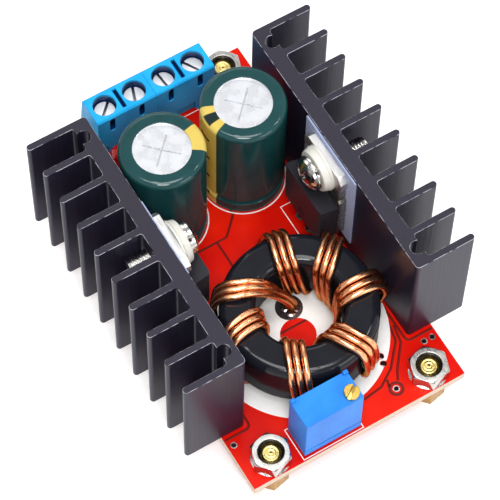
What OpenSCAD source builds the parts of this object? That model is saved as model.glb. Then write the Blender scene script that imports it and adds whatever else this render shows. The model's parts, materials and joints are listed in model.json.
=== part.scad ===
// Step-up DC-DC converter module: a board on four brass standoffs that carries
// two finned heatsinks with their power devices, a toroidal coil, two
// capacitors, a multi-turn trimmer, a status lamp and a four-pole screw terminal.
// Origin: middle of the four standoffs, on the plane of their feet.
// +Z is up, +Y runs from the trimmer to the terminals, X is across the board.

/* [Board] */
// Thickness of the circuit board
board_t = 1.6; // [1:0.1:2.4]
// Board outside the inner face of each heatsink
board_side = 4; // [3:0.1:6]
// Middle of a mounting hole to the nearer end of the board
hole_end = 3; // [2.6:0.1:3.4]
// Play of a lead or stud in its hole, all round
hole_play = 0.1; // [0.05:0.01:0.2]
// Length of the leads left below the board
lead_tail = 1.3; // [0.8:0.1:2]
// Size of the empty plated holes beside the coil
spare_d = 1; // [0.8:0.05:1.2]
// Size of the vias
via_d = 0.7; // [0.4:0.05:0.9]
// Middle of the outer vias to the side of the board
via_edge = 0.95; // [0.8:0.05:1.5]
// Middle of the outer vias to the front of the board
via_front = 7.4; // [6.5:0.1:9]

/* [Standoffs and nuts] */
// Height of the standoffs below the board
standoff_h = 4; // [3.5:0.1:8]
// Standoff size across the flats
standoff_af = 5; // [4.5:0.1:5.5]
// Thread size of the studs
stud_d = 3; // [2.5:0.1:3.2]
// Drill size of the tapped hole in each foot
tap_d = 2.5; // [2:0.1:2.7]
// Wall left above the tapped hole
tap_roof = 0.8; // [0.6:0.1:1.5]
// Nut size across the flats
nut_af = 5.5; // [5:0.1:6]
// Nut height
nut_h = 2.4; // [1.8:0.1:3]
// Stud end below the top of the nut
stud_drop = 0.5; // [0:0.05:0.8]
// Height of the bevel on a stud's end
stud_bevel = 0.3; // [0.1:0.05:0.5]
// Depth of the countersink in each nut
nut_sink = 0.45; // [0.2:0.05:0.6]
// Turn of the nuts as they were left after tightening
nut_turn = 12; // [0:1:59]
// Gap between a nut and the end of the terminal row
nut_gap = 0.165; // [0.1:0.005:1]

/* [Heatsinks] */
// Length of each heatsink along the board
sink_l = 45.5; // [38:0.5:50]
// Heatsinks above the top of the capacitors
sink_over = 0; // [0:0.1:4]
// Depth from the flat face to the fin tips
sink_depth = 9.85; // [8:0.05:14]
// Thickness of the heatsink's back plate
sink_base_t = 2.5; // [2:0.1:3.5]
// Number of fins
fin_n = 10; // [6:2:12]
// Thickness of a fin
fin_t = 1.05; // [0.8:0.05:1.3]
// Fillet at the root of each fin
fin_root_r = 0.45; // [0.2:0.05:0.6]
// Rounding of the two flat-side edges
sink_edge_r = 0.6; // [0.3:0.05:0.9]
// Size of the round pin channel beside each end fin
channel_d = 2.1; // [1.6:0.05:2.4]
// Middle of the pin channels below the face of the back plate
channel_in = 0.6; // [0.3:0.05:0.8]

/* [Power devices] */
// Width of the device
device_w = 10; // [9:0.1:10.6]
// Thickness from the metal back to the front of the plastic
device_t = 4.5; // [4:0.1:4.9]
// Thickness of the metal tab
tab_t = 1.3; // [1:0.05:1.5]
// Height of the plastic body
device_body_h = 9; // [8:0.1:9.5]
// Top of the plastic body below the middle of the screw
device_body_drop = 3.6; // [3.2:0.1:4]
// Tab above the middle of the screw
tab_rise = 2.8; // [2.4:0.1:3.2]
// Step in each side of the tab
tab_notch = 0.4; // [0.2:0.05:0.7]
// Cut across the upper corners of the tab
tab_cut = 1; // [0.6:0.1:1.3]
// Bevel on the front edges of the plastic body
body_bevel = 0.5; // [0.3:0.05:0.8]
// Slope of the plastic body's shoulder
body_slope = 20; // [10:1:30]
// Size of the ejector mark in the plastic body
eject_d = 1.6; // [1.2:0.1:2]
// Depth of the ejector mark
eject_t = 0.15; // [0.1:0.05:0.3]
// Middle of the screw below the top of the heatsink
screw_drop = 4.2; // [3.8:0.1:6]
// Distance between the leads
lead_pitch = 2.54; // [2.3:0.01:2.8]
// Width of a lead
lead_w = 0.8; // [0.6:0.05:1]
// Thickness of a lead
lead_t = 0.5; // [0.4:0.05:0.6]
// Width of the upper part of a lead
lead_wide = 1.3; // [1.1:0.05:1.6]
// Wide part of the leads above the board
lead_stop = 1.4; // [0.8:0.1:2]
// Corners of the devices that reach in behind the coil
device_nest = 3.78; // [2:0.01:3.9]

/* [Device fixings] */
// Width of the insulating pad
pad_w = 13.3; // [12:0.1:15]
// Height of the insulating pad
pad_h = 18; // [17.4:0.1:19]
// Thickness of the insulating pad
pad_t = 0.25; // [0.2:0.05:0.5]
// Edge of the pad below the top of the heatsink
pad_drop = 0.5; // [0.2:0.1:1]
// Flange size of the insulating bushing
bush_d = 7.2; // [6.6:0.1:7.6]
// Flange size of the bushing at its front
bush_front_d = 6.5; // [6:0.1:6.6]
// Thickness of the bushing's flange
bush_t = 1.5; // [1:0.1:2]
// Wall of the bushing's sleeve
bush_wall = 0.3; // [0.25:0.05:0.5]
// Thread size of the device screw
screw_d = 3; // [2.5:0.1:3.2]
// Length of the device screw under its head
screw_l = 9.5; // [8.5:0.5:12]
// Head size of the device screw
screw_head_d = 5.1; // [4.8:0.1:5.8]
// Head height of the device screw
screw_head_h = 1.4; // [1.2:0.05:2.4]
// Height of the straight rim of the screw's head
screw_rim = 0.45; // [0.3:0.05:0.8]
// Outer size of the spring washer
washer_d = 5.4; // [4.8:0.1:5.8]
// Thickness of the spring washer
washer_t = 0.6; // [0.5:0.05:1]
// Opening in the spring washer
washer_gap = 0.5; // [0.3:0.05:0.8]
// Width of the cross in the screw's head
cross_w = 0.72; // [0.5:0.02:0.9]
// Length of the cross in the screw's head
cross_l = 3.1; // [2.4:0.1:3.4]
// Depth of the cross below the crown of the head
cross_t = 0.85; // [0.6:0.05:1]
// Bevel on the end of the device screw
screw_bevel = 0.35; // [0.2:0.05:0.5]
// Play between screw and bores
screw_play = 0.06; // [0.04:0.01:0.15]

/* [Capacitors] */
// Size across the sleeve
cap_d = 12.9; // [12:0.1:14]
// Height above the board
cap_h = 21.8; // [19.4:0.1:25]
// Wall of the printed sleeve
sleeve_t = 0.2; // [0.15:0.05:0.4]
// Bare disc left open by the sleeve
vent_d = 8.6; // [7:0.1:10]
// Depth of the bare disc below the sleeve's rim
vent_sink = 0.5; // [0.4:0.05:0.8]
// Rounding of the upper rim
cap_rim_r = 0.9; // [0.6:0.05:1.2]
// Middle of the crimp groove above the board
crimp_z = 3; // [2.4:0.1:4]
// Depth of the crimp groove
crimp_in = 0.4; // [0.2:0.05:0.6]
// Play between can and sleeve
can_play = 0.05; // [0.03:0.01:0.1]
// Width of the score lines across the bare disc
score_w = 0.24; // [0.15:0.01:0.4]
// Depth of the score lines
score_t = 0.15; // [0.1:0.05:0.3]
// Wall of the can round the rubber bung
can_wall = 1.2; // [0.8:0.1:1.6]
// Height of the open end below the bung's seat
can_open = 1.2; // [0.8:0.1:1.6]
// Sleeve's lower edge above the board
sleeve_z = 0.3; // [0.2:0.05:0.6]
// Lower face of the bung above the board
bung_z = 0.4; // [0.3:0.05:0.6]
// Distance between the leads of one capacitor
cap_lead_pitch = 5; // [4.5:0.1:5.5]
// Thickness of the capacitor leads
cap_lead_d = 0.8; // [0.6:0.05:1]
// Gap between the two capacitors
cap_gap = 1.1; // [0.6:0.1:2]
// Gap between capacitor and heatsink
cap_side = 0.55; // [0.4:0.05:1.5]
// Both capacitors to the left of the middle
cap_shift = 0.1; // [0:0.05:0.25]
// Right capacitor behind the left one
cap_stagger = 0.6; // [0:0.1:1]
// Gap between devices and capacitors along the board
cap_ahead = 0.98; // [0.6:0.02:2]

/* [Coil] */
// Outer size of the core
core_od = 23.5; // [21:0.1:25]
// Inner size of the core
core_id = 13; // [12.6:0.1:13.6]
// Height of the core
core_h = 8.9; // [7:0.1:11]
// Rounding of the core's edges
core_edge_r = 1.3; // [0.9:0.1:1.6]
// Thickness of one strand of the winding
wire_d = 1; // [0.8:0.05:1.05]
// Distance between neighbouring strands
strand_pitch = 1.18; // [1.15:0.01:1.2]
// Gap between winding, core and board
wire_gap = 0.1; // [0.08:0.01:0.2]
// Middle of the coil to the right of the board's middle
coil_x = 0.35; // [0:0.05:0.6]
// Height of the strands' last bend above the board
end_lift = 1.4; // [1.2:0.1:1.8]
// Gap between coil core and trimmer
coil_gap = 0.88; // [0.6:0.02:2]
// Gap between winding and heatsink
coil_side = 0.5; // [0.4:0.1:1.5]

/* [Trimmer] */
// Length of the trimmer's case
trim_l = 9.53; // [9:0.01:10]
// Width of the trimmer's case
trim_w = 4.83; // [4.5:0.01:5.2]
// Height of the trimmer's case without its feet
trim_h = 10.1; // [8:0.1:11]
// Height of the small feet below the case
trim_foot = 0.4; // [0.2:0.05:0.6]
// Head size of the adjusting screw
trim_screw_d = 2.3; // [2:0.1:2.5]
// Shaft size of the adjusting screw
trim_shaft_d = 1.6; // [1.4:0.1:1.8]
// Adjusting screw above the case
trim_screw_out = 1; // [0.6:0.1:1.4]
// Adjusting screw inside the case
trim_screw_in = 2.6; // [1.5:0.1:4]
// Middle of the adjusting screw to the nearer sides
trim_screw_edge = 1.3; // [1.3:0.05:2]
// Play of the adjusting screw in its bore
trim_play = 0.1; // [0.06:0.01:0.2]
// Width of the slot in the adjusting screw
trim_slot_w = 0.5; // [0.4:0.05:0.7]
// Depth of the slot in the adjusting screw
trim_slot_t = 0.6; // [0.4:0.05:0.8]
// Width of the trimmer's feet
trim_foot_w = 0.8; // [0.5:0.1:1.2]
// Trimmer's feet in from the sides
trim_foot_in = 0.5; // [0.3:0.1:0.8]
// Height of the line between the trimmer's cover and base
trim_line_z = 1.4; // [1:0.1:2.5]
// Width of that line
trim_line_w = 0.2; // [0.15:0.05:0.3]
// Depth of that line
trim_line_t = 0.15; // [0.1:0.05:0.2]
// Size of the two small ears on the trimmer's top
trim_nub = 0.8; // [0.4:0.05:0.9]
// Distance between the trimmer's pins
trim_pitch = 2.54; // [2.4:0.01:2.7]
// Thickness of the trimmer's pins
trim_pin_d = 0.5; // [0.4:0.05:0.6]
// Gap between trimmer and left front nut
trim_gap = 1.12; // [0.4:0.02:2]
// Front of the trimmer to the edge of the board
trim_front = 0.54; // [0.2:0.02:1.5]

/* [Screw terminals] */
// Distance between the poles
pole_pitch = 5.08; // [5:0.02:5.5]
// Height of the terminal blocks
term_h = 10; // [9.6:0.1:12]
// Depth of the blocks at the board
term_depth = 6.2; // [6:0.1:8]
// Depth of the blocks at the top
term_top = 4.95; // [4.9:0.05:5.6]
// Blocks to the rear edge of the board
term_rear = 0.1; // [0:0.05:0.3]
// Middle of the screws to the blocks' inner face
term_screw_y = 2.48; // [2.46:0.01:2.6]
// Size of the screw holes in the top
term_hole_d = 3.6; // [3.5:0.1:3.8]
// Screw heads below the top of the blocks
term_sunk = 1.7; // [1.4:0.1:2]
// Height of the screw heads
term_head_h = 1.1; // [0.8:0.1:1.2]
// Thread size of the terminal screws
term_thread_d = 2.5; // [2.2:0.1:2.6]
// Ledge that carries each screw head
term_ledge = 0.55; // [0.4:0.05:0.6]
// Width of a clamp cage
cage_w = 3.6; // [3.4:0.05:3.7]
// Depth of a clamp cage along the wire
cage_y = 2.5; // [2.2:0.05:2.5]
// Side walls of a clamp cage
cage_wall = 0.55; // [0.45:0.05:0.6]
// Top of a clamp cage that holds the thread
cage_top = 1; // [0.8:0.05:1.1]
// Bottom of a clamp cage
cage_floor = 0.6; // [0.4:0.05:0.7]
// Rise of a clamp cage from open to closed
cage_rise = 1.7; // [1.4:0.05:1.75]
// Thickness of the contact bars
bar_t = 0.55; // [0.4:0.05:0.6]
// Thickness of the floor below the cages
term_floor = 0.5; // [0.4:0.05:0.6]
// Play of the moving terminal pieces
term_play = 0.15; // [0.1:0.01:0.18]
// Width of the wire openings
wire_w = 3.4; // [3:0.1:3.6]
// Height of the wire openings
wire_h = 2.6; // [2:0.1:2.8]
// Thickness of the terminal pins
pin_t = 0.45; // [0.4:0.05:0.5]
// Width of the terminal pins
pin_w = 1; // [0.8:0.05:1.1]
// Play of the pins in the blocks
pin_play = 0.05; // [0.04:0.01:0.08]
// Width of the slots in the heads of the terminal screws
term_slot_w = 0.6; // [0.5:0.05:0.8]
// Depth of the slots in the heads of the terminal screws
term_slot_t = 0.6; // [0.4:0.05:0.7]
// Bevel along the upper edges of the blocks
term_bevel = 0.3; // [0.2:0.05:0.5]
// Width of the groove between the poles
groove_w = 0.65; // [0.3:0.05:0.8]
// Depth of the groove between the poles
groove_t = 1.2; // [0.5:0.05:1.6]
// Groove in from the inner and outer faces
groove_in = 0.7; // [0.5:0.1:1]
// Width of the oval slots in the inner face
oval_w = 0.9; // [0.7:0.05:1.1]
// Height of the oval slots in the inner face
oval_h = 3.2; // [3:0.1:3.4]
// Depth of the oval slots, through to the screw holes
oval_t = 1.3; // [1.2:0.05:1.6]
// Oval slots below the top of the blocks
oval_drop = 0.6; // [0.5:0.05:1.2]
// Height of the hollows at the foot of the inner face
hollow_h = 2.1; // [1.6:0.1:2.6]
// Depth of those hollows
hollow_t = 0.4; // [0.2:0.05:0.5]
// Width of the ribs between those hollows
rib_w = 1.8; // [1.2:0.1:2]
// Gap for the lamp between capacitors and terminals
lamp_room = 7.15; // [6.4:0.05:9]

/* [Status lamp] */
// Size of the lamp's lens
lamp_d = 3; // [2.8:0.1:3.4]
// Height of the lamp above the board
lamp_h = 5.4; // [4:0.1:7]
// Collar size of the lamp
lamp_collar_d = 3.8; // [3.6:0.1:4.2]
// Collar height of the lamp
lamp_collar_h = 1; // [0.6:0.1:1.4]
// Middle of the lamp to the terminal blocks
lamp_back = 2.9; // [2.6:0.1:3.4]
// Lamp left of the middle of the board
lamp_left = 8.2; // [6.8:0.1:9]
// Thickness of the lamp's leads
lamp_lead = 0.5; // [0.4:0.05:0.6]
// Distance between the lamp's leads
lamp_pitch = 2.54; // [2.3:0.01:2.6]
// Reach of the lamp's leads into its collar
lamp_lead_in = 0.75; // [0.5:0.05:0.9]
// Play of cast-in and pressed-in leads
cast_play = 0.05; // [0.03:0.01:0.1]

/* [Parts below the board] */
// Length of the controller's body
chip_l = 4.9; // [4.6:0.1:5.4]
// Width of the controller's body
chip_w = 3.9; // [3.6:0.1:4.4]
// Height of the controller below the board
chip_h = 1.6; // [1.2:0.1:2]
// Reach of the controller's pins to each side
chip_pin_out = 1.05; // [0.8:0.05:1.3]
// Distance between the controller's pins
chip_pitch = 1.27; // [1.2:0.01:1.35]
// Width of the controller's pins
chip_pin_w = 0.4; // [0.3:0.05:0.5]
// Thickness of the controller's pins
chip_pin_t = 0.2; // [0.15:0.05:0.25]
// Controller's body off the board
chip_off = 0.12; // [0.1:0.01:0.2]
// Gap between the chips, and between chips and controller pins
smd_gap = 1.1; // [0.8:0.1:1.6]
// Length of a chip resistor or chip capacitor
smd_l = 2; // [1.6:0.1:2.2]
// Width of a chip resistor or chip capacitor
smd_w = 1.25; // [0.8:0.05:1.4]
// Height of a chip resistor
res_h = 0.55; // [0.4:0.05:0.8]
// Height of a chip capacitor
smd_cap_h = 0.9; // [0.6:0.05:1.3]
// Length of the current shunt
shunt_l = 6.4; // [5:0.1:7]
// Width of the current shunt
shunt_w = 3.2; // [2.5:0.1:4]
// Height of the current shunt
shunt_h = 0.65; // [0.5:0.05:1]
// Height of the solder cones
solder_h = 0.9; // [0.6:0.1:1.2]
// Foot of the solder cones beyond the lead
solder_foot = 0.45; // [0.3:0.05:0.6]
// Tip of the solder cones beyond the lead
solder_tip = 0.12; // [0.1:0.01:0.2]
// Gap left round the lead in each solder cone
solder_play = 0.03; // [0.02:0.01:0.05]

/* [Hidden] */
$fn = 48;
eps = 0.01;

// heights
sink_h = cap_h + sink_over;
board_top = standoff_h + board_t;
screw_z = board_top + sink_h - screw_drop;
tail_z = standoff_h - lead_tail;

// coil radii of the middle of the wire, its bends and its outermost surface
wire_off = wire_gap + wire_d / 2;
bend_r = core_edge_r + wire_off;
path_ro = core_od / 2 + wire_off;
path_ri = core_id / 2 - wire_off;
coil_r = path_ro + wire_d / 2;
core_z = board_top + 2 * wire_gap + wire_d;

// across the board
cap_half = cap_gap / 2 + cap_d + cap_side;
coil_half = coil_x + coil_r + coil_side;
sink_x = max(cap_half, coil_half);
board_w = 2 * (sink_x + board_side);
term_w = 4 * pole_pitch;
nut_corner = nut_af / cos(30) / 2;
hole_x = term_w / 2 + nut_gap + nut_corner;
cap_x = (cap_d + cap_gap) / 2;
trim_x = trim_gap + nut_corner - hole_x;

// along the board, from its front edge
trim_f = trim_front;
coil_f = trim_f + trim_w + coil_gap + core_od / 2;
device_f = coil_f + coil_r - device_nest + device_w / 2;
cap_f = device_f + device_w / 2 + cap_ahead + cap_d / 2;
term_f = cap_f + cap_stagger + cap_d / 2 + lamp_room;
board_l = term_f + term_depth + term_rear;
front = -board_l / 2;
trim_y = front + trim_f;
coil_y = front + coil_f;
device_y = front + device_f;
cap_left_y = front + cap_f;
cap_right_y = cap_left_y + cap_stagger;
term_y = front + term_f;
lamp_y = term_y - lamp_back;
hole_y = board_l / 2 - hole_end;

// power device stack, outwards from the middle of the board
tab_back = sink_x - pad_t;
tab_front = tab_back - tab_t;
device_front = tab_back - device_t;
bush_front = tab_front - bush_t;
head_under = bush_front - washer_t;
device_lead_x = tab_back - device_t * 0.58;
sleeve_bore = screw_d + 2 * screw_play;
sleeve_od = sleeve_bore + 2 * bush_wall;
tab_bore = sleeve_od + 2 * screw_play;
body_top = screw_z - device_body_drop;
body_bottom = body_top - device_body_h;

// winding: middle of the seven turns on top of the core, and their slants
turn_at = [81, 30.7, -14.8, -71.7, -125.3, -184.8, -221];
turn_n = len(turn_at);
top_slant = 7;
rise_slant = 6;
end_spots = [[0.072, 0.822], [0.373, 0.601], [0.153, 0.508]];
leave_at = [60, 80, 74];
leave_spread = 1.16;
start_flare = 1.6;
under_spread = 1.16;

// terminal heights above the board
head_z = term_h - term_sunk - term_head_h;
ledge_z = head_z - term_play / 3 - term_ledge;
cage_z = term_floor + term_play;
cage_h = ledge_z - term_play / 2 - cage_rise - cage_z;
bar_z = cage_z + cage_h - cage_top - term_play / 3 - bar_t;
cage_half_y = cage_y / 2;
pin_y = term_screw_y - cage_half_y - 2 * term_play - pin_t;

// shared shapes

module hex_bar(af, h) {
    cylinder(d = af / cos(30), h = h, $fn = 6);
}

module rounded_box_2d(w, h, r) {
    translate([r, 0]) square([w - 2 * r, h]);
    translate([0, r]) square([w, h - 2 * r]);
    for (x = [r, w - r])
        for (y = [r, h - r])
            translate([x, y]) circle(r = r);
}

module box_from(lo, hi) {
    translate(lo) cube(hi - lo);
}

module at_corners() {
    for (sx = [-1, 1])
        for (sy = [-1, 1])
            translate([sx * hole_x, sy * hole_y, 0]) children();
}

// puts a right-hand power device piece on the left or right side
module device_side(side) {
    if (side < 0)
        mirror([1, 0, 0]) translate([0, device_y, 0]) children();
    else
        translate([0, device_y, 0]) children();
}

// axis from the middle of the board outwards along the device screw
module along_screw(x) {
    translate([x, 0, screw_z]) rotate([0, 90, 0]) children();
}

// where leads go through the board: place, hole size, lead size

function turn_xy(r, a) = [coil_x + r * cos(a), coil_y + r * sin(a)];
function start_angle(s) =
    turn_at[0] + top_slant / 2 + rise_slant + s * start_flare * strand_pitch / path_ro * 180 / PI;
function start_xy(s) = turn_xy(path_ro, start_angle(s));
function end_xy(s) = [coil_x, coil_y] + path_ri * end_spots[s + 1];
function cap_lead_xy(x, y, a, s) = [x, y] + s * cap_lead_pitch / 2 * [cos(a), sin(a)];
function pole_x(i) = (i - 2.5) * pole_pitch;

input_cap = [-cap_x - cap_shift, cap_left_y, -11];
output_cap = [cap_x - cap_shift, cap_right_y, 179];

device_leads = [for (sx = [-1, 1]) for (k = [-1 : 1])
    [sx * device_lead_x, device_y + k * lead_pitch]];
cap_leads = [for (c = [input_cap, output_cap]) for (s = [-1, 1])
    cap_lead_xy(c[0], c[1], c[2], s)];
coil_leads = [for (s = [-1 : 1]) each [start_xy(s), end_xy(s)]];
trim_leads = [for (k = [-1 : 1]) [trim_x + trim_l / 2 + k * trim_pitch, trim_y + trim_w / 2]];
term_leads = [for (i = [1 : 4]) [pole_x(i), term_y + pin_y + pin_t / 2]];
lamp_leads_at = [for (s = [-1, 1]) [-lamp_left + s * lamp_pitch / 2, lamp_y]];

// empty plated holes: X, and distance behind the front of the coil
spare_holes = [[5.19, 1], [8.79, 2.35], [8.52, 1.1]];
// vias: X, and distance from the front of the board
side_via = board_w / 2 - via_edge;
vias = [[-side_via, via_front], [side_via, via_front], [side_via - 2 * via_d, via_front],
    [hole_x - nut_af, hole_end]];

lead_spots = concat(
    [for (p = device_leads) [p, norm([lead_w, lead_t])]],
    [for (p = cap_leads) [p, cap_lead_d]],
    [for (p = coil_leads) [p, wire_d]],
    [for (p = trim_leads) [p, trim_pin_d]],
    [for (p = term_leads) [p, norm([pin_w, pin_t])]],
    [for (p = lamp_leads_at) [p, norm([lamp_lead, lamp_lead])]]);

// board and its feet

module drill(p, d) {
    translate([p[0], p[1], standoff_h - board_t]) cylinder(d = d, h = 3 * board_t, $fn = 24);
}

module pcb() {
    color("#e6320f") difference() {
        translate([-board_w / 2, front, standoff_h]) cube([board_w, board_l, board_t]);
        at_corners() translate([0, 0, standoff_h - board_t])
            cylinder(d = stud_d + 2 * hole_play, h = 3 * board_t);
        for (s = lead_spots) drill(s[0], s[1] + 2 * hole_play);
        for (p = spare_holes) drill([p[0], coil_y - core_od / 2 + p[1]], spare_d);
        for (p = vias) drill([p[0], front + p[1]], via_d);
    }
}

module standoffs() {
    stud_top = board_top + nut_h - stud_drop;
    color("#d9b860") at_corners() difference() {
        union() {
            rotate(nut_turn) hex_bar(standoff_af, standoff_h);
            cylinder(d = stud_d, h = stud_top - stud_bevel);
            translate([0, 0, stud_top - stud_bevel - eps])
                cylinder(d1 = stud_d, d2 = stud_d - 2 * stud_bevel, h = stud_bevel + eps);
        }
        translate([0, 0, -tap_d]) cylinder(d = tap_d, h = standoff_h - tap_roof + tap_d);
    }
}

module standoff_nuts() {
    // 30 degree chamfers that meet the faces just inside and just outside the flats
    wide = nut_corner * 1.1;
    top_r = nut_af * 0.485;
    low_r = nut_af * 0.54;
    bore = stud_d + 2 * screw_play;
    color("#c9c9cf") at_corners() translate([0, 0, board_top]) difference() {
        intersection() {
            rotate(nut_turn) hex_bar(nut_af, nut_h);
            rotate_extrude() polygon([[0, 0], [low_r, 0], [wide, (wide - low_r) * tan(30)],
                [wide, nut_h - (wide - top_r) * tan(30)], [top_r, nut_h], [0, nut_h]]);
        }
        translate([0, 0, -nut_h]) cylinder(d = bore, h = 3 * nut_h);
        translate([0, 0, nut_h - nut_sink])
            cylinder(d1 = bore, d2 = bore + 2 * nut_sink, h = nut_sink + eps);
    }
}

// heatsinks: one extruded section, flat face towards the middle of the board

module sink_section() {
    fin_step = (sink_l - fin_t) / (fin_n - 1);
    reach = sink_depth - fin_t / 2;
    difference() {
        union() {
            rounded_box_2d(sink_base_t, sink_l, sink_edge_r);
            translate([sink_base_t / 2, 0]) square([sink_base_t / 2, sink_l]);
            for (i = [0 : fin_n - 1])
                translate([sink_base_t - eps, i * fin_step]) {
                    square([reach - sink_base_t + eps, fin_t]);
                    translate([reach - sink_base_t + eps, fin_t / 2])
                        circle(d = fin_t, $fn = 24);
                }
            for (i = [0 : fin_n - 2])
                translate([sink_base_t - eps, i * fin_step + fin_t - eps])
                    root_fillets(fin_step - fin_t);
        }
        for (i = [0, fin_n - 2])
            translate([sink_base_t - channel_in, (i + 0.5) * fin_step + fin_t / 2])
                circle(d = channel_d, $fn = 32);
    }
}

module root_fillets(gap) {
    r = fin_root_r;
    for (side = [0, 1])
        translate([0, side * (gap + 2 * eps)]) mirror([0, side])
            difference() {
                square(r);
                translate([r, r]) circle(r = r, $fn = 24);
            }
}

module heatsink(side) {
    color("#45434d") device_side(side) difference() {
        translate([sink_x, -sink_l / 2, board_top])
            linear_extrude(height = sink_h) sink_section();
        along_screw(sink_x - screw_d)
            cylinder(d = screw_d + 2 * screw_play, h = sink_base_t + 2 * screw_d);
    }
}

// power devices: metal tab with leads, plastic body, pad, bushing, washer and screw

module tab_outline() {
    half = device_w / 2;
    waist = half - tab_notch;
    step = -device_body_drop;
    right = [[half, body_bottom - screw_z], [half, step], [waist, step + tab_notch], [waist, 0],
        [half, tab_notch], [half, tab_rise - tab_cut], [half - tab_cut, tab_rise]];
    left = [for (i = [len(right) - 1 : -1 : 0]) [-right[i][0], right[i][1]]];
    polygon(concat(right, left));
}

module device_leadframe(side) {
    color("#c4c4c6") device_side(side) {
        difference() {
            translate([tab_front, 0, screw_z]) rotate([90, 0, 90])
                linear_extrude(height = tab_t) tab_outline();
            along_screw(tab_front - tab_t) cylinder(d = tab_bore, h = 3 * tab_t);
        }
        for (k = [-1 : 1]) translate([device_lead_x, k * lead_pitch, 0]) {
            box_from([-lead_t / 2, -lead_w / 2, tail_z], [lead_t / 2, lead_w / 2, body_bottom]);
            box_from([-lead_t / 2, -lead_wide / 2, board_top + lead_stop],
                [lead_t / 2, lead_wide / 2, body_bottom]);
        }
    }
}

module device_body(side) {
    half = device_w / 2;
    color("#26262c") device_side(side) difference() {
        translate([0, 0, body_bottom]) linear_extrude(height = device_body_h)
            polygon([[tab_front, -half], [tab_front, half],
                [device_front + body_bevel / 2, half], [device_front, half - body_bevel],
                [device_front, body_bevel - half], [device_front + body_bevel / 2, -half]]);
        // sloping shoulder below the tab
        translate([device_front, -device_w, body_top]) rotate([0, body_slope, 0])
            translate([-device_t, 0, 0]) cube([3 * device_t, 2 * device_w, device_t]);
        // ejector mark in the lower half of the front
        translate([device_front + eject_t, 0, body_bottom + device_body_h / 4])
            rotate([0, -90, 0]) cylinder(d = eject_d, h = device_t, $fn = 24);
    }
}

module device_pad(side) {
    top = board_top + sink_h - pad_drop;
    color("#98a6cf") device_side(side) difference() {
        box_from([tab_back, -pad_w / 2, top - pad_h], [sink_x, pad_w / 2, top]);
        along_screw(tab_back - pad_t) cylinder(d = tab_bore, h = 3 * pad_t);
    }
}

module device_bushing(side) {
    cone = bush_t * 0.75;
    color("#efe9dc") device_side(side) along_screw(bush_front) difference() {
        union() {
            cylinder(d1 = bush_front_d, d2 = bush_d, h = cone);
            translate([0, 0, cone - eps]) cylinder(d = bush_d, h = bush_t - cone + eps);
            cylinder(d = sleeve_od, h = bush_t + tab_t);
        }
        translate([0, 0, -bush_t]) cylinder(d = sleeve_bore, h = 3 * bush_t + tab_t);
    }
}

module device_spring_washers() {
    color("#c8c6c2") for (side = [-1, 1]) device_side(side) along_screw(head_under) difference() {
        cylinder(d = washer_d, h = washer_t);
        translate([0, 0, -washer_t]) cylinder(d = sleeve_bore, h = 3 * washer_t);
        rotate(215) translate([0, -washer_gap / 2, -washer_t])
            cube([washer_d, washer_gap, 3 * washer_t]);
    }
}

// pan head with a cross, its crown a part of a sphere
module screw_head() {
    rise = screw_head_h - screw_rim;
    crown_r = (pow(screw_head_d / 2, 2) + pow(rise, 2)) / (2 * rise);
    difference() {
        intersection() {
            translate([0, 0, -screw_head_h]) cylinder(d = screw_head_d, h = screw_head_h);
            translate([0, 0, crown_r - screw_head_h]) sphere(r = crown_r);
        }
        for (a = [0, 90])
            rotate(a + 20) translate([-cross_l / 2, -cross_w / 2, cross_t - 3 * screw_head_h])
                cube([cross_l, cross_w, 2 * screw_head_h]);
    }
}

module device_screws() {
    inside = screw_head_h * 0.3;
    color("#cfccc4") for (side = [-1, 1]) device_side(side) along_screw(head_under) {
        translate([0, 0, -inside]) cylinder(d = screw_d, h = screw_l + inside - screw_bevel);
        translate([0, 0, screw_l - screw_bevel - eps])
            cylinder(d1 = screw_d, d2 = screw_d - 2 * screw_bevel, h = screw_bevel + eps);
        screw_head();
    }
}

// capacitors: can with crimped end, sleeve folded over the rim, rubber bung, leads

module cap_turned(r, h, rim) {
    difference() {
        rotate_extrude() {
            square([r, h - rim]);
            square([r - rim, h]);
            translate([r - rim, h - rim]) circle(r = rim);
        }
        // crimp groove
        translate([0, 0, crimp_z]) rotate_extrude()
            translate([r + 1.2 * crimp_in, 0]) circle(r = 2.2 * crimp_in, $fn = 24);
    }
}

module cap_can(c) {
    wall = sleeve_t + can_play;
    r = cap_d / 2 - wall;
    color("#c9ccd0") translate([c[0], c[1], board_top]) difference() {
        cap_turned(r, cap_h - wall, cap_rim_r - wall);
        translate([0, 0, cap_h - vent_sink]) cylinder(d = vent_d, h = vent_sink);
        for (a = [45, 135])
            rotate(a) translate([-vent_d / 3, -score_w / 2, cap_h - vent_sink - score_t])
                cube([vent_d * 2 / 3, score_w, 2 * score_t]);
        translate([0, 0, -can_open]) cylinder(r = r - can_wall, h = 2 * can_open);
    }
}

module cap_sleeve(c) {
    r = cap_d / 2 - sleeve_t;
    color("#22474b") translate([c[0], c[1], board_top]) difference() {
        cap_turned(cap_d / 2, cap_h, cap_rim_r);
        cap_turned(r, cap_h - sleeve_t, cap_rim_r - sleeve_t);
        translate([0, 0, -cap_h]) cylinder(d = 2 * cap_d, h = cap_h + sleeve_z);
        translate([0, 0, cap_h / 2]) cylinder(d = vent_d + can_play, h = cap_h);
    }
}

module cap_bung(c) {
    r = cap_d / 2 - sleeve_t - can_wall - 2 * can_play;
    color("#1d1d1f") translate([c[0], c[1], board_top]) rotate(c[2]) difference() {
        translate([0, 0, bung_z]) cylinder(r = r, h = can_open - bung_z);
        for (s = [-1, 1])
            translate([s * cap_lead_pitch / 2, 0, 0])
                cylinder(d = cap_lead_d + 2 * cast_play, h = cap_h / 2, $fn = 24);
    }
}

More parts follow.
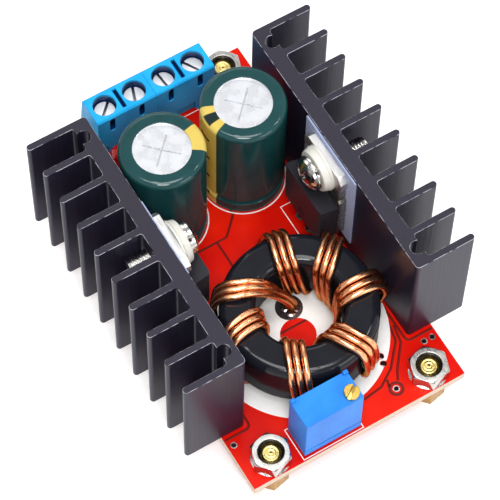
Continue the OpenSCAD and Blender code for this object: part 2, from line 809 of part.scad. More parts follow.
module cap_leads_of(c) {
    color("#c9c9c9") for (s = [-1, 1])
        translate([c[0], c[1], 0]) rotate(c[2])
            translate([s * cap_lead_pitch / 2, 0, tail_z])
                cylinder(d = cap_lead_d, h = board_top + can_open - tail_z, $fn = 24);
}

// coil: rounded ring core, three parallel strands wound in one pass round it

module coil_core() {
    color("#2b2a2e") translate([coil_x, coil_y, core_z]) rotate_extrude()
        translate([core_id / 2, 0]) rounded_box_2d((core_od - core_id) / 2, core_h, core_edge_r);
}

// corners of one turn, outside bottom first: middle of bend, first angle of the bend
function bend(k) =
    let (ro = core_od / 2 - core_edge_r, ri = core_id / 2 + core_edge_r)
    let (zl = core_z + core_edge_r, zh = core_z + core_h - core_edge_r)
    [[ro, zl, 270], [ro, zh, 0], [ri, zh, 90], [ri, zl, 180]][k];
function bend_rz(k, t) =
    let (b = bend(k))
    [b[0] + bend_r * cos(b[2] + t), b[1] + bend_r * sin(b[2] + t)];

// straight length of the four sides of a turn: up, over, down, under
function side_l(k) = (k % 2 == 0 ? core_h : (core_od - core_id) / 2) - 2 * core_edge_r;
function share(k, deg) = bend_r * deg * PI / 180 / (side_l(k) + bend_r * PI / 2);

// one point: place in the coil's own frame, and the direction across the strands
function wire_point(rz, a, s, spread = 1) =
    let (b = a + s * spread * strand_pitch / rz[0] * 180 / PI)
    [[rz[0] * cos(b), rz[0] * sin(b), rz[1]], [-sin(b), cos(b), 0]];

// four points along one side of a turn that slants from angle a0 to a1,
// with the strands spread where they slant most, under the core
function side_points(k, a0, a1, s) = [
    for (q = [[k, 60, share(k, 15)], [k, 90, share(k, 45)],
            [(k + 1) % 4, 0, 1 - share(k, 45)], [(k + 1) % 4, 30, 1 - share(k, 15)]])
        wire_point(bend_rz(q[0], q[1]), a0 + (a1 - a0) * q[2], s, k == 3 ? under_spread : 1)];

function turn_points(i, s) =
    let (a = turn_at[i], hi = a + top_slant / 2, lo = a - top_slant / 2)
    let (next = i + 1 < turn_n ? turn_at[i + 1] + top_slant / 2 + rise_slant : lo)
    let (low = (lo + next) / 2, up = side_points(0, hi + rise_slant, hi, s))
    concat(
        i == 0 ? [up[2], up[3]] : up,
        side_points(1, hi, lo, s),
        i + 1 < turn_n ? concat(side_points(2, lo, low, s), side_points(3, low, next, s)) : []);

function start_points(s) =
    let (p = start_xy(s) - [coil_x, coil_y], b = start_angle(s), d = [-sin(b), cos(b), 0])
    [[[p[0], p[1], tail_z], d], [[p[0], p[1], board_top + wire_d], d]];

// the last turn leaves the core at its upper inner bend, then drops to the board
function end_points(s) =
    let (p = end_xy(s) - [coil_x, coil_y], b = turn_at[turn_n - 1] - top_slant / 2)
    let (d = [-sin(b), cos(b), 0], leave = leave_at[s + 1])
    concat(
        [for (a = [45 : 20 : leave - 8]) leaving_point(a, leave, b, s)],
        [leaving_point(leave, leave, b, s)],
        [[[p[0], p[1], board_top + end_lift * wire_d], d], [[p[0], p[1], tail_z], d]]);
function leaving_point(a, leave, b, s) =
    wire_point(bend_rz(2, a), b, s, 1 + (leave_spread - 1) * a / leave);

function wire_path(s) = concat(
    start_points(s), [for (i = [0 : turn_n - 1]) each turn_points(i, s)], end_points(s));

function unit(v) = v / norm(v);

module strand(s) {
    path = wire_path(s);
    n = len(path);
    sides = 8;
    rings = [for (i = [0 : n - 1])
        let (a = i > 0 ? unit(path[i][0] - path[i - 1][0]) : [0, 0, 0])
        let (b = i < n - 1 ? unit(path[i + 1][0] - path[i][0]) : [0, 0, 0])
        let (t = unit(a + b), u = unit(path[i][1] - (path[i][1] * t) * t), v = cross(t, u))
        [for (k = [0 : sides - 1])
            path[i][0] + wire_d / 2 * (cos(k * 360 / sides) * u + sin(k * 360 / sides) * v)]];
    skin = [for (i = [0 : n - 2]) for (k = [0 : sides - 1])
        let (m = (k + 1) % sides)
        each [[i * sides + k, (i + 1) * sides + m, i * sides + m],
            [i * sides + k, (i + 1) * sides + k, (i + 1) * sides + m]]];
    caps = [[for (k = [0 : sides - 1]) k],
        [for (k = [sides - 1 : -1 : 0]) (n - 1) * sides + k]];
    polyhedron(points = [for (r = rings) each r], faces = concat(skin, caps), convexity = 20);
}

module coil_winding() {
    color("#b4672f") translate([coil_x, coil_y, 0]) for (s = [-1 : 1]) strand(s);
}

// trimmer

trim_screw_at = [trim_x + trim_l - trim_screw_edge, trim_y + trim_screw_edge];
trim_floor = board_top + trim_foot;
trim_top = trim_floor + trim_h;

module trimmer_case() {
    line = trim_line_t;
    color("#3a93ee") difference() {
        union() {
            translate([trim_x, trim_y, trim_floor]) cube([trim_l, trim_w, trim_h]);
            for (x = [trim_foot_in, trim_l - trim_foot_in - trim_foot_w])
                translate([trim_x + x, trim_y + trim_foot_in, board_top])
                    cube([trim_foot_w, trim_w - 2 * trim_foot_in, trim_foot + eps]);
            for (x = [0, trim_l - trim_nub])
                translate([trim_x + x, trim_y + trim_w - trim_nub * 0.8, trim_top - eps])
                    cube([trim_nub, trim_nub * 0.8, trim_nub * 0.7]);
        }
        // line between cover and base
        difference() {
            translate([trim_x - line, trim_y - line, trim_floor + trim_line_z])
                cube([trim_l + 2 * line, trim_w + 2 * line, trim_line_w]);
            translate([trim_x + line, trim_y + line, board_top])
                cube([trim_l - 2 * line, trim_w - 2 * line, trim_h]);
        }
        translate([trim_screw_at[0], trim_screw_at[1], trim_top - trim_screw_in - trim_play])
            cylinder(d = trim_shaft_d + 2 * trim_play, h = 2 * trim_screw_in);
        for (p = trim_leads)
            translate([p[0], p[1], board_top])
                cylinder(d = trim_pin_d + 2 * cast_play, h = trim_foot + trim_line_z, $fn = 24);
    }
}

module trimmer_screw() {
    top = trim_screw_in + trim_screw_out;
    color("#d8b24e") translate([trim_screw_at[0], trim_screw_at[1], trim_top - trim_screw_in])
        difference() {
            union() {
                cylinder(d = trim_shaft_d, h = top);
                translate([0, 0, trim_screw_in + trim_play])
                    cylinder(d = trim_screw_d, h = trim_screw_out - trim_play);
            }
            rotate(35) translate([-trim_screw_d, -trim_slot_w / 2, top - trim_slot_t])
                cube([2 * trim_screw_d, trim_slot_w, 2 * trim_slot_t]);
        }
}

module trimmer_pins() {
    color("#c9c9c9") for (p = trim_leads)
        translate([p[0], p[1], tail_z])
            cylinder(d = trim_pin_d, h = trim_floor + trim_line_z / 2 - tail_z, $fn = 24);
}

// screw terminals: two two-pole blocks, captive screws, rising cages, contact bars

// slot with round ends, cut along +Y from its inner face, its upper end at the origin
module oval_slot(w, h, depth) {
    rotate([-90, 0, 0]) linear_extrude(height = depth) {
        translate([-w / 2, w / 2]) square([w, h - w]);
        for (y = [w / 2, h - w / 2])
            translate([0, y]) circle(d = w, $fn = 24);
    }
}

// one block's outline from the side, its inner face at Y = 0
module block_outline() {
    bevel = term_bevel;
    polygon([[0, 0], [term_depth, 0], [term_top, term_h - bevel], [term_top - bevel, term_h],
        [bevel, term_h], [0, term_h - bevel]]);
}

// room for one pole's screw, cage, wire, contact bar and pin
module pole_room() {
    room = cage_w / 2 + term_play;
    back = term_screw_y - cage_half_y - term_play;
    wire_z = term_floor + cage_floor;
    translate([0, term_screw_y, head_z - term_play / 3]) cylinder(d = term_hole_d, h = term_h);
    translate([0, term_screw_y, ledge_z - term_ledge])
        cylinder(d = term_thread_d + 2 * term_play, h = term_h);
    box_from([-room, back, term_floor], [room, term_screw_y + cage_half_y + term_play, ledge_z]);
    box_from([-wire_w / 2, term_screw_y, wire_z], [wire_w / 2, 2 * term_depth, wire_z + wire_h]);
    box_from([-pin_w / 2 - pin_play, pin_y - pin_play, -term_floor],
        [pin_w / 2 + pin_play, back + eps, bar_z + bar_t + pin_play]);
    translate([0, -eps, term_h - oval_drop]) oval_slot(oval_w, oval_h, oval_t);
}

module terminal_block(first) {
    w = 2 * pole_pitch;
    color("#1f86d2") translate([pole_x(first) - pole_pitch / 2, term_y, board_top]) difference() {
        rotate([90, 0, 90]) linear_extrude(height = w) block_outline();
        translate([(w - groove_w) / 2, groove_in, term_h - groove_t])
            cube([groove_w, term_top - 2 * groove_in, 2 * groove_t]);
        for (k = [0.5, 1.5]) translate([k * pole_pitch, 0, 0]) pole_room();
        // hollows between the ribs at the foot of the inner face
        for (k = [0 : 2]) {
            from = k == 0 ? rib_w / 3 : (k - 0.5) * pole_pitch + rib_w / 2;
            to = k == 2 ? w - rib_w / 3 : (k + 0.5) * pole_pitch - rib_w / 2;
            box_from([from, -hollow_t, -hollow_h], [to, hollow_t, hollow_h]);
        }
    }
}

module terminal_screw(i) {
    tip = bar_z + bar_t + term_play;
    top = head_z + term_head_h;
    color("#c7c7c9") translate([pole_x(i), term_y + term_screw_y, board_top]) difference() {
        union() {
            translate([0, 0, tip]) cylinder(d = term_thread_d, h = head_z - tip + eps);
            translate([0, 0, head_z]) cylinder(d = term_hole_d - 2 * term_play, h = term_head_h);
        }
        rotate(20 + 25 * i) translate([-term_hole_d, -term_slot_w / 2, top - term_slot_t])
            cube([2 * term_hole_d, term_slot_w, 2 * term_slot_t]);
    }
}

module clamp_cage(i) {
    window = cage_h - cage_floor - cage_top;
    color("#b9b7b0") translate([pole_x(i), term_y + term_screw_y, board_top + cage_z]) difference() {
        translate([-cage_w / 2, -cage_half_y, 0]) cube([cage_w, cage_y, cage_h]);
        translate([cage_wall - cage_w / 2, -cage_y, cage_floor])
            cube([cage_w - 2 * cage_wall, 2 * cage_y, window]);
        translate([0, 0, cage_floor + window / 2])
            cylinder(d = term_thread_d + term_play, h = cage_h);
    }
}

module terminal_contacts() {
    half = cage_w / 2 - cage_wall - term_play;
    start = term_screw_y - cage_half_y - term_play * 0.7;
    color("#c8b27a") for (i = [1 : 4]) translate([pole_x(i), term_y, board_top]) {
        box_from([-half, start, bar_z], [half, term_screw_y + cage_half_y + term_play, bar_z + bar_t]);
        box_from([-pin_w / 2, pin_y, bar_z], [pin_w / 2, start + eps, bar_z + bar_t]);
        box_from([-pin_w / 2, pin_y, tail_z - board_top], [pin_w / 2, pin_y + pin_t, bar_z + bar_t]);
    }
}

// status lamp

module lamp_lens() {
    r = lamp_d / 2;
    pocket = lamp_lead + 2 * cast_play;
    color("#d81e12") translate([-lamp_left, lamp_y, board_top]) difference() {
        union() {
            cylinder(d = lamp_collar_d, h = lamp_collar_h);
            cylinder(r = r, h = lamp_h - r);
            translate([0, 0, lamp_h - r]) sphere(r = r);
        }
        // flat on the collar, beside the short lead
        box_from([-lamp_collar_d, -lamp_collar_d, -lamp_collar_h],
            [-r - cast_play, lamp_collar_d, lamp_collar_h]);
        for (s = [-1, 1])
            translate([(s * lamp_pitch - pocket) / 2, -pocket / 2, -lamp_lead_in])
                cube([pocket, pocket, 2 * lamp_lead_in + cast_play]);
    }
}

module lamp_leads() {
    half = lamp_lead / 2;
    color("#c9c9c9") for (p = lamp_leads_at)
        box_from([p[0] - half, p[1] - half, tail_z],
            [p[0] + half, p[1] + half, board_top + lamp_lead_in]);
}

// parts below the board

chip_y = device_y + device_w / 2;
smd_x = chip_w / 2 + chip_pin_out + smd_gap + smd_w / 2;
res_at = [for (sx = [-1, 1]) for (k = [-1 : 1]) [sx * smd_x, chip_y + (k - 0.7) * (smd_l + smd_gap)]];
smd_cap_at = [for (k = [-1 : 1])
    [k * (smd_l + smd_gap), coil_y + path_ro - wire_d - 2 * smd_w - smd_gap]];

module controller_body() {
    color("#232327") translate([-chip_w / 2, chip_y - chip_l / 2, standoff_h - chip_h])
        cube([chip_w, chip_l, chip_h - chip_off]);
}

// pins come out at half height, go up to the board and turn outwards
module controller_pins() {
    mid = standoff_h - chip_h / 2;
    half = chip_pin_w / 2;
    bend = chip_pin_out * 0.45;
    color("#c9c9c9") for (sx = [0, 1]) for (k = [-1.5 : 1.5])
        mirror([sx, 0, 0]) translate([chip_w / 2, chip_y + k * chip_pitch, 0]) {
            box_from([0, -half, mid - chip_pin_t / 2], [bend, half, mid + chip_pin_t / 2]);
            box_from([bend - chip_pin_t, -half, mid - chip_pin_t / 2], [bend, half, standoff_h]);
            box_from([bend - chip_pin_t, -half, standoff_h - chip_pin_t],
                [chip_pin_out, half, standoff_h]);
        }
}

module chip_at(p, l, w, h) {
    translate([p[0] - l / 2, p[1] - w / 2, standoff_h - h]) cube([l, w, h]);
}

module chip_resistors() {
    color("#2a2a2a") for (p = res_at) chip_at(p, smd_w, smd_l, res_h);
}

module chip_capacitors() {
    color("#b98a58") for (p = smd_cap_at) chip_at(p, smd_l, smd_w, smd_cap_h);
}

module current_shunt() {
    color("#2a2a2a") chip_at([coil_x, coil_y - core_od / 5], shunt_l, shunt_w, shunt_h);
}

module solder_joints() {
    color("#b9bcc0") for (s = lead_spots)
        translate([s[0][0], s[0][1], standoff_h - solder_h]) difference() {
            cylinder(d1 = s[1] + 2 * solder_tip, d2 = s[1] + 2 * solder_foot, h = solder_h, $fn = 24);
            translate([0, 0, -solder_h])
                cylinder(d = s[1] + 2 * solder_play, h = 3 * solder_h, $fn = 24);
        }
}

pcb();
standoffs();
standoff_nuts();
heatsink(-1);  // diode_heatsink
heatsink(1);  // mosfet_heatsink
device_body(-1);  // diode_body
device_body(1);  // mosfet_body
device_leadframe(-1);  // diode_leadframe
device_leadframe(1);  // mosfet_leadframe
device_pad(-1);  // diode_pad
device_pad(1);  // mosfet_pad
device_bushing(-1);  // diode_bushing
device_bushing(1);  // mosfet_bushing
device_spring_washers();
device_screws();
cap_can(input_cap);  // input_cap_can
cap_can(output_cap);  // output_cap_can
cap_sleeve(input_cap);  // input_cap_sleeve
cap_sleeve(output_cap);  // output_cap_sleeve
cap_bung(input_cap);  // input_cap_bung
cap_bung(output_cap);  // output_cap_bung
cap_leads_of(input_cap);  // input_cap_leads
cap_leads_of(output_cap);  // output_cap_leads
coil_core();
coil_winding();
trimmer_case();
trimmer_screw();
trimmer_pins();
terminal_block(1);  // input_terminal_block
terminal_block(3);  // output_terminal_block
terminal_screw(1);  // terminal_screw_1
terminal_screw(2);  // terminal_screw_2
terminal_screw(3);  // terminal_screw_3
terminal_screw(4);  // terminal_screw_4
clamp_cage(1);  // clamp_cage_1
clamp_cage(2);  // clamp_cage_2
clamp_cage(3);  // clamp_cage_3
clamp_cage(4);  // clamp_cage_4
terminal_contacts();
lamp_lens();
lamp_leads();
controller_body();
controller_pins();
chip_resistors();
chip_capacitors();
current_shunt();
solder_joints();
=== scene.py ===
"""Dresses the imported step-up converter module: finishes for every piece, a smooth
three-strand winding, board print, threads, chips and solder, on a pale floor."""
import json
import math

import bmesh
import bpy
from mathutils import Matrix, Vector

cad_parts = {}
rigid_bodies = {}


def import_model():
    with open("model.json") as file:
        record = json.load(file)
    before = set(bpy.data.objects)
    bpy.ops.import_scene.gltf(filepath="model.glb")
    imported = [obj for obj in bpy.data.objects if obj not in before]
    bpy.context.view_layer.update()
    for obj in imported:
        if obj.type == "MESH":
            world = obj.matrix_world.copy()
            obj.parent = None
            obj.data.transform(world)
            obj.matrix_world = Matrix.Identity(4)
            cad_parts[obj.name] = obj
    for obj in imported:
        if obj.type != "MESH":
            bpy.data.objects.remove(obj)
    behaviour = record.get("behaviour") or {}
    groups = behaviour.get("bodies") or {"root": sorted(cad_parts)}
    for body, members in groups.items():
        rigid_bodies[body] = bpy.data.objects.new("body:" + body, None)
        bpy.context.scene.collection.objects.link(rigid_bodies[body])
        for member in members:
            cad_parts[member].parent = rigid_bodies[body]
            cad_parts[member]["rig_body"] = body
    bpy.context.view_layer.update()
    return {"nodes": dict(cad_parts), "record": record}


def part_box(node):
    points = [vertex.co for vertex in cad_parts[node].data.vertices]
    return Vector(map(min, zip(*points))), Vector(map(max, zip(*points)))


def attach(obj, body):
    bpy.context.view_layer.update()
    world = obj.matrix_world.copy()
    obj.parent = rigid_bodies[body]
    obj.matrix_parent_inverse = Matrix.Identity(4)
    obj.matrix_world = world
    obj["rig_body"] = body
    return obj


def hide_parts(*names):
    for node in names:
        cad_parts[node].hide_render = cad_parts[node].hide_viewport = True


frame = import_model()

MM = 0.001
UP = Vector((0, 0, 1))
NODES = frame["nodes"]

# points this near to each other are one, and points this near to a slot's side lie on it, in
# metres; faces this near to level with each other are one, in degrees
SAME_POINT = 1e-7
ON_SLOT = 1e-5
SAME_FACE = 0.4

# camera of the photograph: place in millimetres, line of sight, and direction to the right
CAMERA_AT = (-97.69, -156.19, 364.73)
CAMERA_LOOKS = (0.2449, 0.3887, -0.8882)
CAMERA_RIGHT = (0.8574, -0.5146, 0.0112)
CAMERA_LENS = 194.04
CAMERA_SENSOR = 36.0

# where the lights look, in metres
LIGHTS_AT = Vector((0, 0, 0.01))

# winding: sizes in millimetres and angles in degrees, as the solids have them
WIRE_D = 1.0
STRANDS = (-1, 0, 1)
STRAND_PITCH = 1.18
WIRE_GAP = 0.1
CORE_BORE = 13.0
CORE_EDGE_R = 1.3
TURN_AT = (81, 30.7, -14.8, -71.7, -125.3, -184.8, -221)
TOP_SLANT = 7
RISE_SLANT = 6
FIRST_LEAN = -9
START_FLARE = 1.6
UNDER_SPREAD = 1.16
END_SPOTS = ((0.072, 0.822), (0.373, 0.601), (0.153, 0.508))
END_LIFT = 1.4

# how far the stiff wire stands off the core in the middle of each side, outside first
SIDE_BOW = (0.35, 0.4, 0.4, 0.0)
LOOSE_TURN = 2
LOOSE_BOW = 0.85

# sweep of the last turn down to its holes, and how far its strands keep apart there
PULL_OUT = 4.2
PULL_UP = 0.7
HANG_UP = 1.6
HANG_BACK = 0.3
GATHERED = 0.55

# points for each side of a turn and for the last sweep, and passes that even out the angles
SIDE_SAMPLES = 10
SWEEP_SAMPLES = 9
EVEN_PASSES = 6

# points of the first rise and of the last turn that the leads take the place of, and the
# place of a strand's entry into the board, counted from its end
RISE_SKIPPED = 3
TURN_SKIPPED = 5
ENTRY = -4

# how far the top of a terminal reaches from its inner face
TERMINAL_TOP_Y = 4.95

# how far the bare end of a can lies below its rim
VENT_SINK = 0.5

# gold band on a sleeve: its half width in degrees, and its bars with their half width in
# degrees, first place below the rim, distance from one to the next and half height; and the
# half angle that leaves a rim without a mark
BAND_HALF = 22
BAR_HALF = 10
BAR_FIRST = 4.2
BAR_STEP = 2.6
BAR_THICK = 0.28
NO_RIM_MARK = -2

# fine rings, in radians for each millimetre: on turned ends, in nut threads and on drawn cans
TURNED_RINGS = 13
THREAD_RINGS = 30
DRAWN_RINGS = 21

# edges of dressed pieces: segments of the rounding, and the angle from which an edge is sharp
EDGE_SEGMENTS = 2
SHARP_FROM = 34

# shaft of a clamp screw, and the play it is given in its raised cage
CLAMP_SHAFT_R = 1.25
CLAMP_SHAFT_PLAY = 0.04

# slot of a clamp screw: the solid's half width, its direction for the first screw and from one
# to the next, and how far its sides are drawn together
CLAMP_SLOT_HALF = 0.3
CLAMP_SLOT_AT = 45
CLAMP_SLOT_STEP = 25
CLAMP_SLOT_CLOSED = 0.6

# print and copper on the board, thickness in millimetres
GAP_LINE_T = 0.012
PRINT_T = 0.022
PAD_T = 0.032

# coil disc of the print: its radius, that of its opening, and the room round a hole
DISC_R = 13.57
DISC_OPENING_R = 2.72
HOLE_ROOM_R = 0.55

# lands: inner and outer radius, or how far they reach past a lead
NUT_LAND = (1.62, 2.95)
VIA_LAND = (0.36, 0.52)
SPARE_LAND = (0.51, 0.78)
VIA_GAP = (0.75, 1.2)
LEAD_PLAY = 0.12
LAND_ABOVE = 0.5
LAND_BELOW = 0.62
COIL_LAND_R = 2.1

# leads that aren't round: pin of a contact bar, and width of a device's leg
CONTACT_PIN_T = 0.45
CONTACT_PIN_W = 1.0
DEVICE_LEG_W = 0.8

# solder fillets: foot and height, how hollow they are, how far they reach past a lead, and
# their shares of that size where a strand goes in
FILLET_R = 0.9
FILLET_HOLLOW = 2.4
FILLET_RIM = 0.45
ENTRY_FILLET = (0.95, 0.95, 0.55)

# bevel at the tip of a device screw
TIP_BEVEL = 0.35

# chip parts: shares of the size that the body takes up, and of the length that an end takes up
CHIP_BODY = (0.97, 0.96, 0.94)
CHIP_END = 0.2
CHIP_PAD = 0.3
PIN_FOOT = 0.65


def srgb(red, green, blue):
    """A colour given as it looks on screen, 0 to 255, in Blender's linear values."""
    def linear(value):
        value /= 255
        return value / 12.92 if value <= 0.04045 else ((value + 0.055) / 1.055) ** 2.4
    return linear(red), linear(green), linear(blue)


def turned(degrees):
    """The X and Y of a point at an angle on a circle of radius 1."""
    return math.cos(math.radians(degrees)), math.sin(math.radians(degrees))


def node_box(name):
    """A node's lowest and highest corners in millimetres."""
    low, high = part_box(name)
    return Vector(low) / MM, Vector(high) / MM


def node_middle(name):
    low, high = node_box(name)
    return (low + high) / 2


def merged_mesh(name):
    """A node's mesh as a bmesh with its loose triangles joined."""
    shape = bmesh.new()
    shape.from_mesh(NODES[name].data)
    bmesh.ops.remove_doubles(shape, verts=shape.verts, dist=SAME_POINT)
    return shape


def solid_boxes(name):
    """The box of each separate solid of a node, in millimetres, from left to right."""
    shape = merged_mesh(name)
    boxes = []
    seen = set()
    for seed in shape.verts:
        if seed in seen:
            continue
        seen.add(seed)
        group = [seed]
        for vert in group:
            for edge in vert.link_edges:
                other = edge.other_vert(vert)
                if other not in seen:
                    seen.add(other)
                    group.append(other)
        low = Vector([min(v.co[k] for v in group) for k in range(3)]) / MM
        high = Vector([max(v.co[k] for v in group) for k in range(3)]) / MM
        boxes.append((low, high))
    shape.free()
    return sorted(boxes, key=lambda box: (round(box[0].x, 3), round(box[0].y, 3)))


BOARD_LOW, BOARD_HIGH = node_box("pcb")
BOARD_TOP = BOARD_HIGH.z
BOARD_UNDER = BOARD_LOW.z
NUTS = [(low + high) / 2 for low, high in solid_boxes("standoff_nuts")]
COIL_LOW, COIL_HIGH = node_box("coil_core")
COIL = (COIL_LOW + COIL_HIGH) / 2


# node trees

class Field:
    """A value that a node tree works out. Arithmetic on it adds Math nodes to the tree."""

    def __init__(self, maker, socket):
        self.maker = maker
        self.socket = socket

    def __add__(self, other):
        return self.maker.math("ADD", self, other)

    def __sub__(self, other):
        return self.maker.math("SUBTRACT", self, other)

    def __rsub__(self, other):
        return self.maker.math("SUBTRACT", other, self)

    def __mul__(self, other):
        return self.maker.math("MULTIPLY", self, other)

    def __truediv__(self, other):
        return self.maker.math("DIVIDE", self, other)

    def __abs__(self):
        return self.maker.math("ABSOLUTE", self)


class NodeMaker:
    """Adds nodes to a tree and hands back their outputs as fields."""
    FAMILY = "ShaderNode"

    def __init__(self, tree):
        self.tree = tree

    def put(self, socket, value):
        """Links a field to a socket, or sets the socket's own value."""
        if isinstance(value, Field):
            self.tree.links.new(value.socket, socket)
        elif socket.type == "RGBA":
            socket.default_value = (*value, 1)
        else:
            socket.default_value = value

    def outputs(self, kind, inputs=None, **settings):
        """All outputs of a new node, by its full type name."""
        node = self.tree.nodes.new(kind)
        for key, value in settings.items():
            setattr(node, key, value)
        for socket, value in (inputs or {}).items():
            self.put(node.inputs[socket], value)
        return node.outputs

    def add(self, kind, inputs=None, out=0, **settings):
        """One output of a new node of the tree's own family."""
        return Field(self, self.outputs(self.FAMILY + kind, inputs, **settings)[out])

    def math(self, operation, first, second=0.0):
        inputs = {0: first, 1: second}
        return Field(self, self.outputs("ShaderNodeMath", inputs, operation=operation)[0])

    def split(self, vector):
        """The X, Y and Z of a vector."""
        return [Field(self, part) for part in self.outputs("ShaderNodeSeparateXYZ", {0: vector})]

    def vector(self, x, y=0.0, z=0.0):
        return Field(self, self.outputs("ShaderNodeCombineXYZ", {0: x, 1: y, 2: z})[0])

    def step(self, value, low, high, at_low=0.0, at_high=1.0):
        """Goes smoothly from one number to another between two limits."""
        return self.add("MapRange", {"Value": value, "From Min": low, "From Max": high,
                                     "To Min": at_low, "To Max": at_high},
                        interpolation_type="SMOOTHSTEP")

    def seen_white(self):
        """1 for rays that see the background: straight, mirrored or through glass."""
        path = self.outputs("ShaderNodeLightPath")
        camera, mirror, glass = (Field(self, path["Is %s Ray" % ray])
                                 for ray in ("Camera", "Glossy", "Transmission"))
        return self.math("MAXIMUM", self.math("MAXIMUM", camera, mirror), glass)


# finishes

class Finish(NodeMaker):
    """One procedural finish on a piece's own coordinates. Sizes are in millimetres, and
    colours as they look on screen."""

    def __init__(self, name, colour, rough, metal=0.0, **sockets):
        self.material = bpy.data.materials.new(name)
        self.material.use_nodes = True
        super().__init__(self.material.node_tree)
        self.surface = self.tree.nodes["Principled BSDF"].inputs
        self.set(Base_Color=srgb(*colour), Roughness=rough, Metallic=metal, **sockets)
        self.material.diffuse_color = (*srgb(*colour), 1)
        self.place = self.add("TexCoord", out="Object")
        self.relief = None

    def set(self, **sockets):
        """Sets or links inputs of the surface by their names."""
        for label, value in sockets.items():
            self.put(self.surface[label.replace("_", " ")], value)

    def along(self, axis, start=0.0):
        """Distance from a start along X, Y or Z, in millimetres."""
        return self.split(self.place)[axis] / MM - start

    def facing(self, axis):
        """How far the surface faces along an axis, from -1 to 1."""
        return self.split(self.add("NewGeometry", out="Normal"))[axis]

    def radius(self, across, along):
        """Distance from an axis, from the distances in two directions."""
        return self.math("SQRT", across * across + along * along)

    def off_stud(self):
        """Distance from the axis of the nearest of the four corner studs."""
        return self.radius(abs(self.along(0)) - abs(NUTS[0].x),
                           abs(self.along(1)) - abs(NUTS[0].y))

    def rings(self, radius, rate):
        """Waves round an axis, from the distance to it."""
        return self.math("SINE", radius * rate)

    def noise(self, size, detail=3.0, stretch=(1, 1, 1), turn=0.0):
        """Noise of about the given size. A stretch under 1 draws it out along an axis."""
        place = self.add("Mapping", {"Vector": self.place, "Rotation": (0, 0, turn),
                                     "Scale": stretch})
        return self.add("TexNoise", {"Vector": place, "Scale": 1 / (size * MM),
                                     "Detail": detail, "Roughness": 0.55}, "Fac")

    def mix(self, amount, first, second):
        """Colour that goes from the first to the second as the amount goes from 0 to 1."""
        first, second = (srgb(*tone) if isinstance(tone, tuple) else tone
                         for tone in (first, second))
        return self.add("Mix", {0: amount, 6: first, 7: second}, 2, data_type="RGBA")

    def bump(self, height, depth):
        """Lays a relief of the given depth over the ones already there, on the coat too."""
        inputs = {"Height": height, "Strength": 1.0, "Distance": depth * MM}
        if self.relief:
            inputs["Normal"] = self.relief
        self.relief = self.add("Bump", inputs)
        self.set(Normal=self.relief)
        if self.surface["Coat Weight"].default_value > 0:
            self.set(Coat_Normal=self.relief)


def drifting(name, rough, light, dark, cloud, grain, depth, shine=None, metal=0.0, **sockets):
    """A finish that drifts between two tones and has a fine relief, which may set its shine.
    Cloud and grain describe the noises; without a grain the cloud is the relief as well."""
    finish = Finish(name, light, rough, metal, **sockets)
    tone = finish.noise(*cloud)
    relief = finish.noise(*grain) if grain else tone
    finish.set(Base_Color=finish.mix(tone, light, dark))
    if shine:
        finish.set(Roughness=finish.step(relief, *shine))
    finish.bump(relief, depth)
    return finish.material


def red_board():
    """Glossy red solder mask over copper, with pale glass-fibre edges and dark holes."""
    finish = Finish("red_solder_mask", (218, 20, 6), 0.26, Specular_IOR_Level=0.12)
    cloud = finish.step(finish.noise(9, 2), 0.35, 0.7)
    mask = finish.mix(cloud, (208, 14, 4), (228, 30, 8))
    fibre = finish.noise(0.35, 2, (0.15, 0.15, 4))
    edge = finish.mix(fibre, (214, 186, 160), (246, 232, 214))
    middle = (BOARD_TOP + BOARD_UNDER) / 2
    half = middle - BOARD_UNDER
    skin = finish.step(abs(finish.along(2, middle)), half - 0.09, half - 0.05)
    in_x, in_y = (finish.step(abs(finish.along(axis)), BOARD_HIGH[axis] - 0.4,
                              BOARD_HIGH[axis] - 0.3, 1, 0) for axis in (0, 1))
    edge = finish.mix(in_x * in_y, edge, (44, 34, 30))
    finish.set(Base_Color=finish.mix(skin, edge, mask),
               Roughness=finish.step(skin, 0, 1, 0.7, 0.24))
    finish.bump(finish.noise(1.6, 2), 0.01)
    return finish.material


def bare_tin():
    """Tinned copper with duller patches."""
    finish = Finish("tinned_copper", (214, 214, 216), 0.26, 1.0)
    patch = finish.noise(0.9, 4)
    finish.set(Base_Color=finish.mix(patch, (214, 214, 216), (171, 171, 172)),
               Roughness=finish.step(patch, 0.3, 0.7, 0.16, 0.4))
    finish.bump(finish.noise(0.35), 0.012)
    return finish.material


def turned_brass():
    """Brass bar, with turning rings on the stud ends and feet darkened by painted shade."""
    finish = Finish("turned_brass", (222, 190, 106), 0.24, 1.0)
    off_axis = finish.off_stud()
    end_face = finish.step(abs(finish.facing(2)), 0.9, 0.98)
    finish.bump(finish.rings(off_axis, TURNED_RINGS) * end_face, 0.016)
    stud = finish.mix(finish.noise(1.2, 4), (240, 220, 146), (214, 184, 104))
    # painted shade: away from the stud ends, on the feet under the board, the brass is made darker
    foot = finish.mix(finish.noise(1.2, 4), (190, 150, 82), (158, 118, 58))
    tone = finish.mix(finish.step(off_axis, 1.55, 1.65), stud, foot)
    finish.set(Base_Color=finish.mix(finish.step(off_axis, 0.1, 0.24), (96, 70, 30), tone),
               Roughness=finish.step(finish.noise(0.6), 0.3, 0.7, 0.22, 0.42))
    return finish.material


def nut_nickel():
    """Bright nickel, darkened by painted shade and ringed by the thread inside the countersink."""
    finish = Finish("nut_nickel", (206, 204, 200), 0.12, 1.0)
    off_axis = finish.off_stud()
    outside = finish.step(off_axis, 1.93, 2.06)
    plating = finish.mix(finish.noise(1.4), (202, 200, 196), (170, 168, 164))
    scuff = finish.noise(0.5, 5, (1, 0.25, 1), 0.6)
    faced = finish.step(finish.facing(2), 0.9, 0.98, 0.0, 0.18)
    # painted shade: inside the countersink and bore the nickel is made near-black
    finish.set(Base_Color=finish.mix(outside, (48, 43, 38), plating),
               Roughness=faced + finish.step(scuff, 0.35, 0.75, 0.08, 0.2))
    finish.bump(finish.rings(off_axis, THREAD_RINGS) * (1.0 - outside), 0.03)
    finish.bump(scuff, 0.004)
    return finish.material


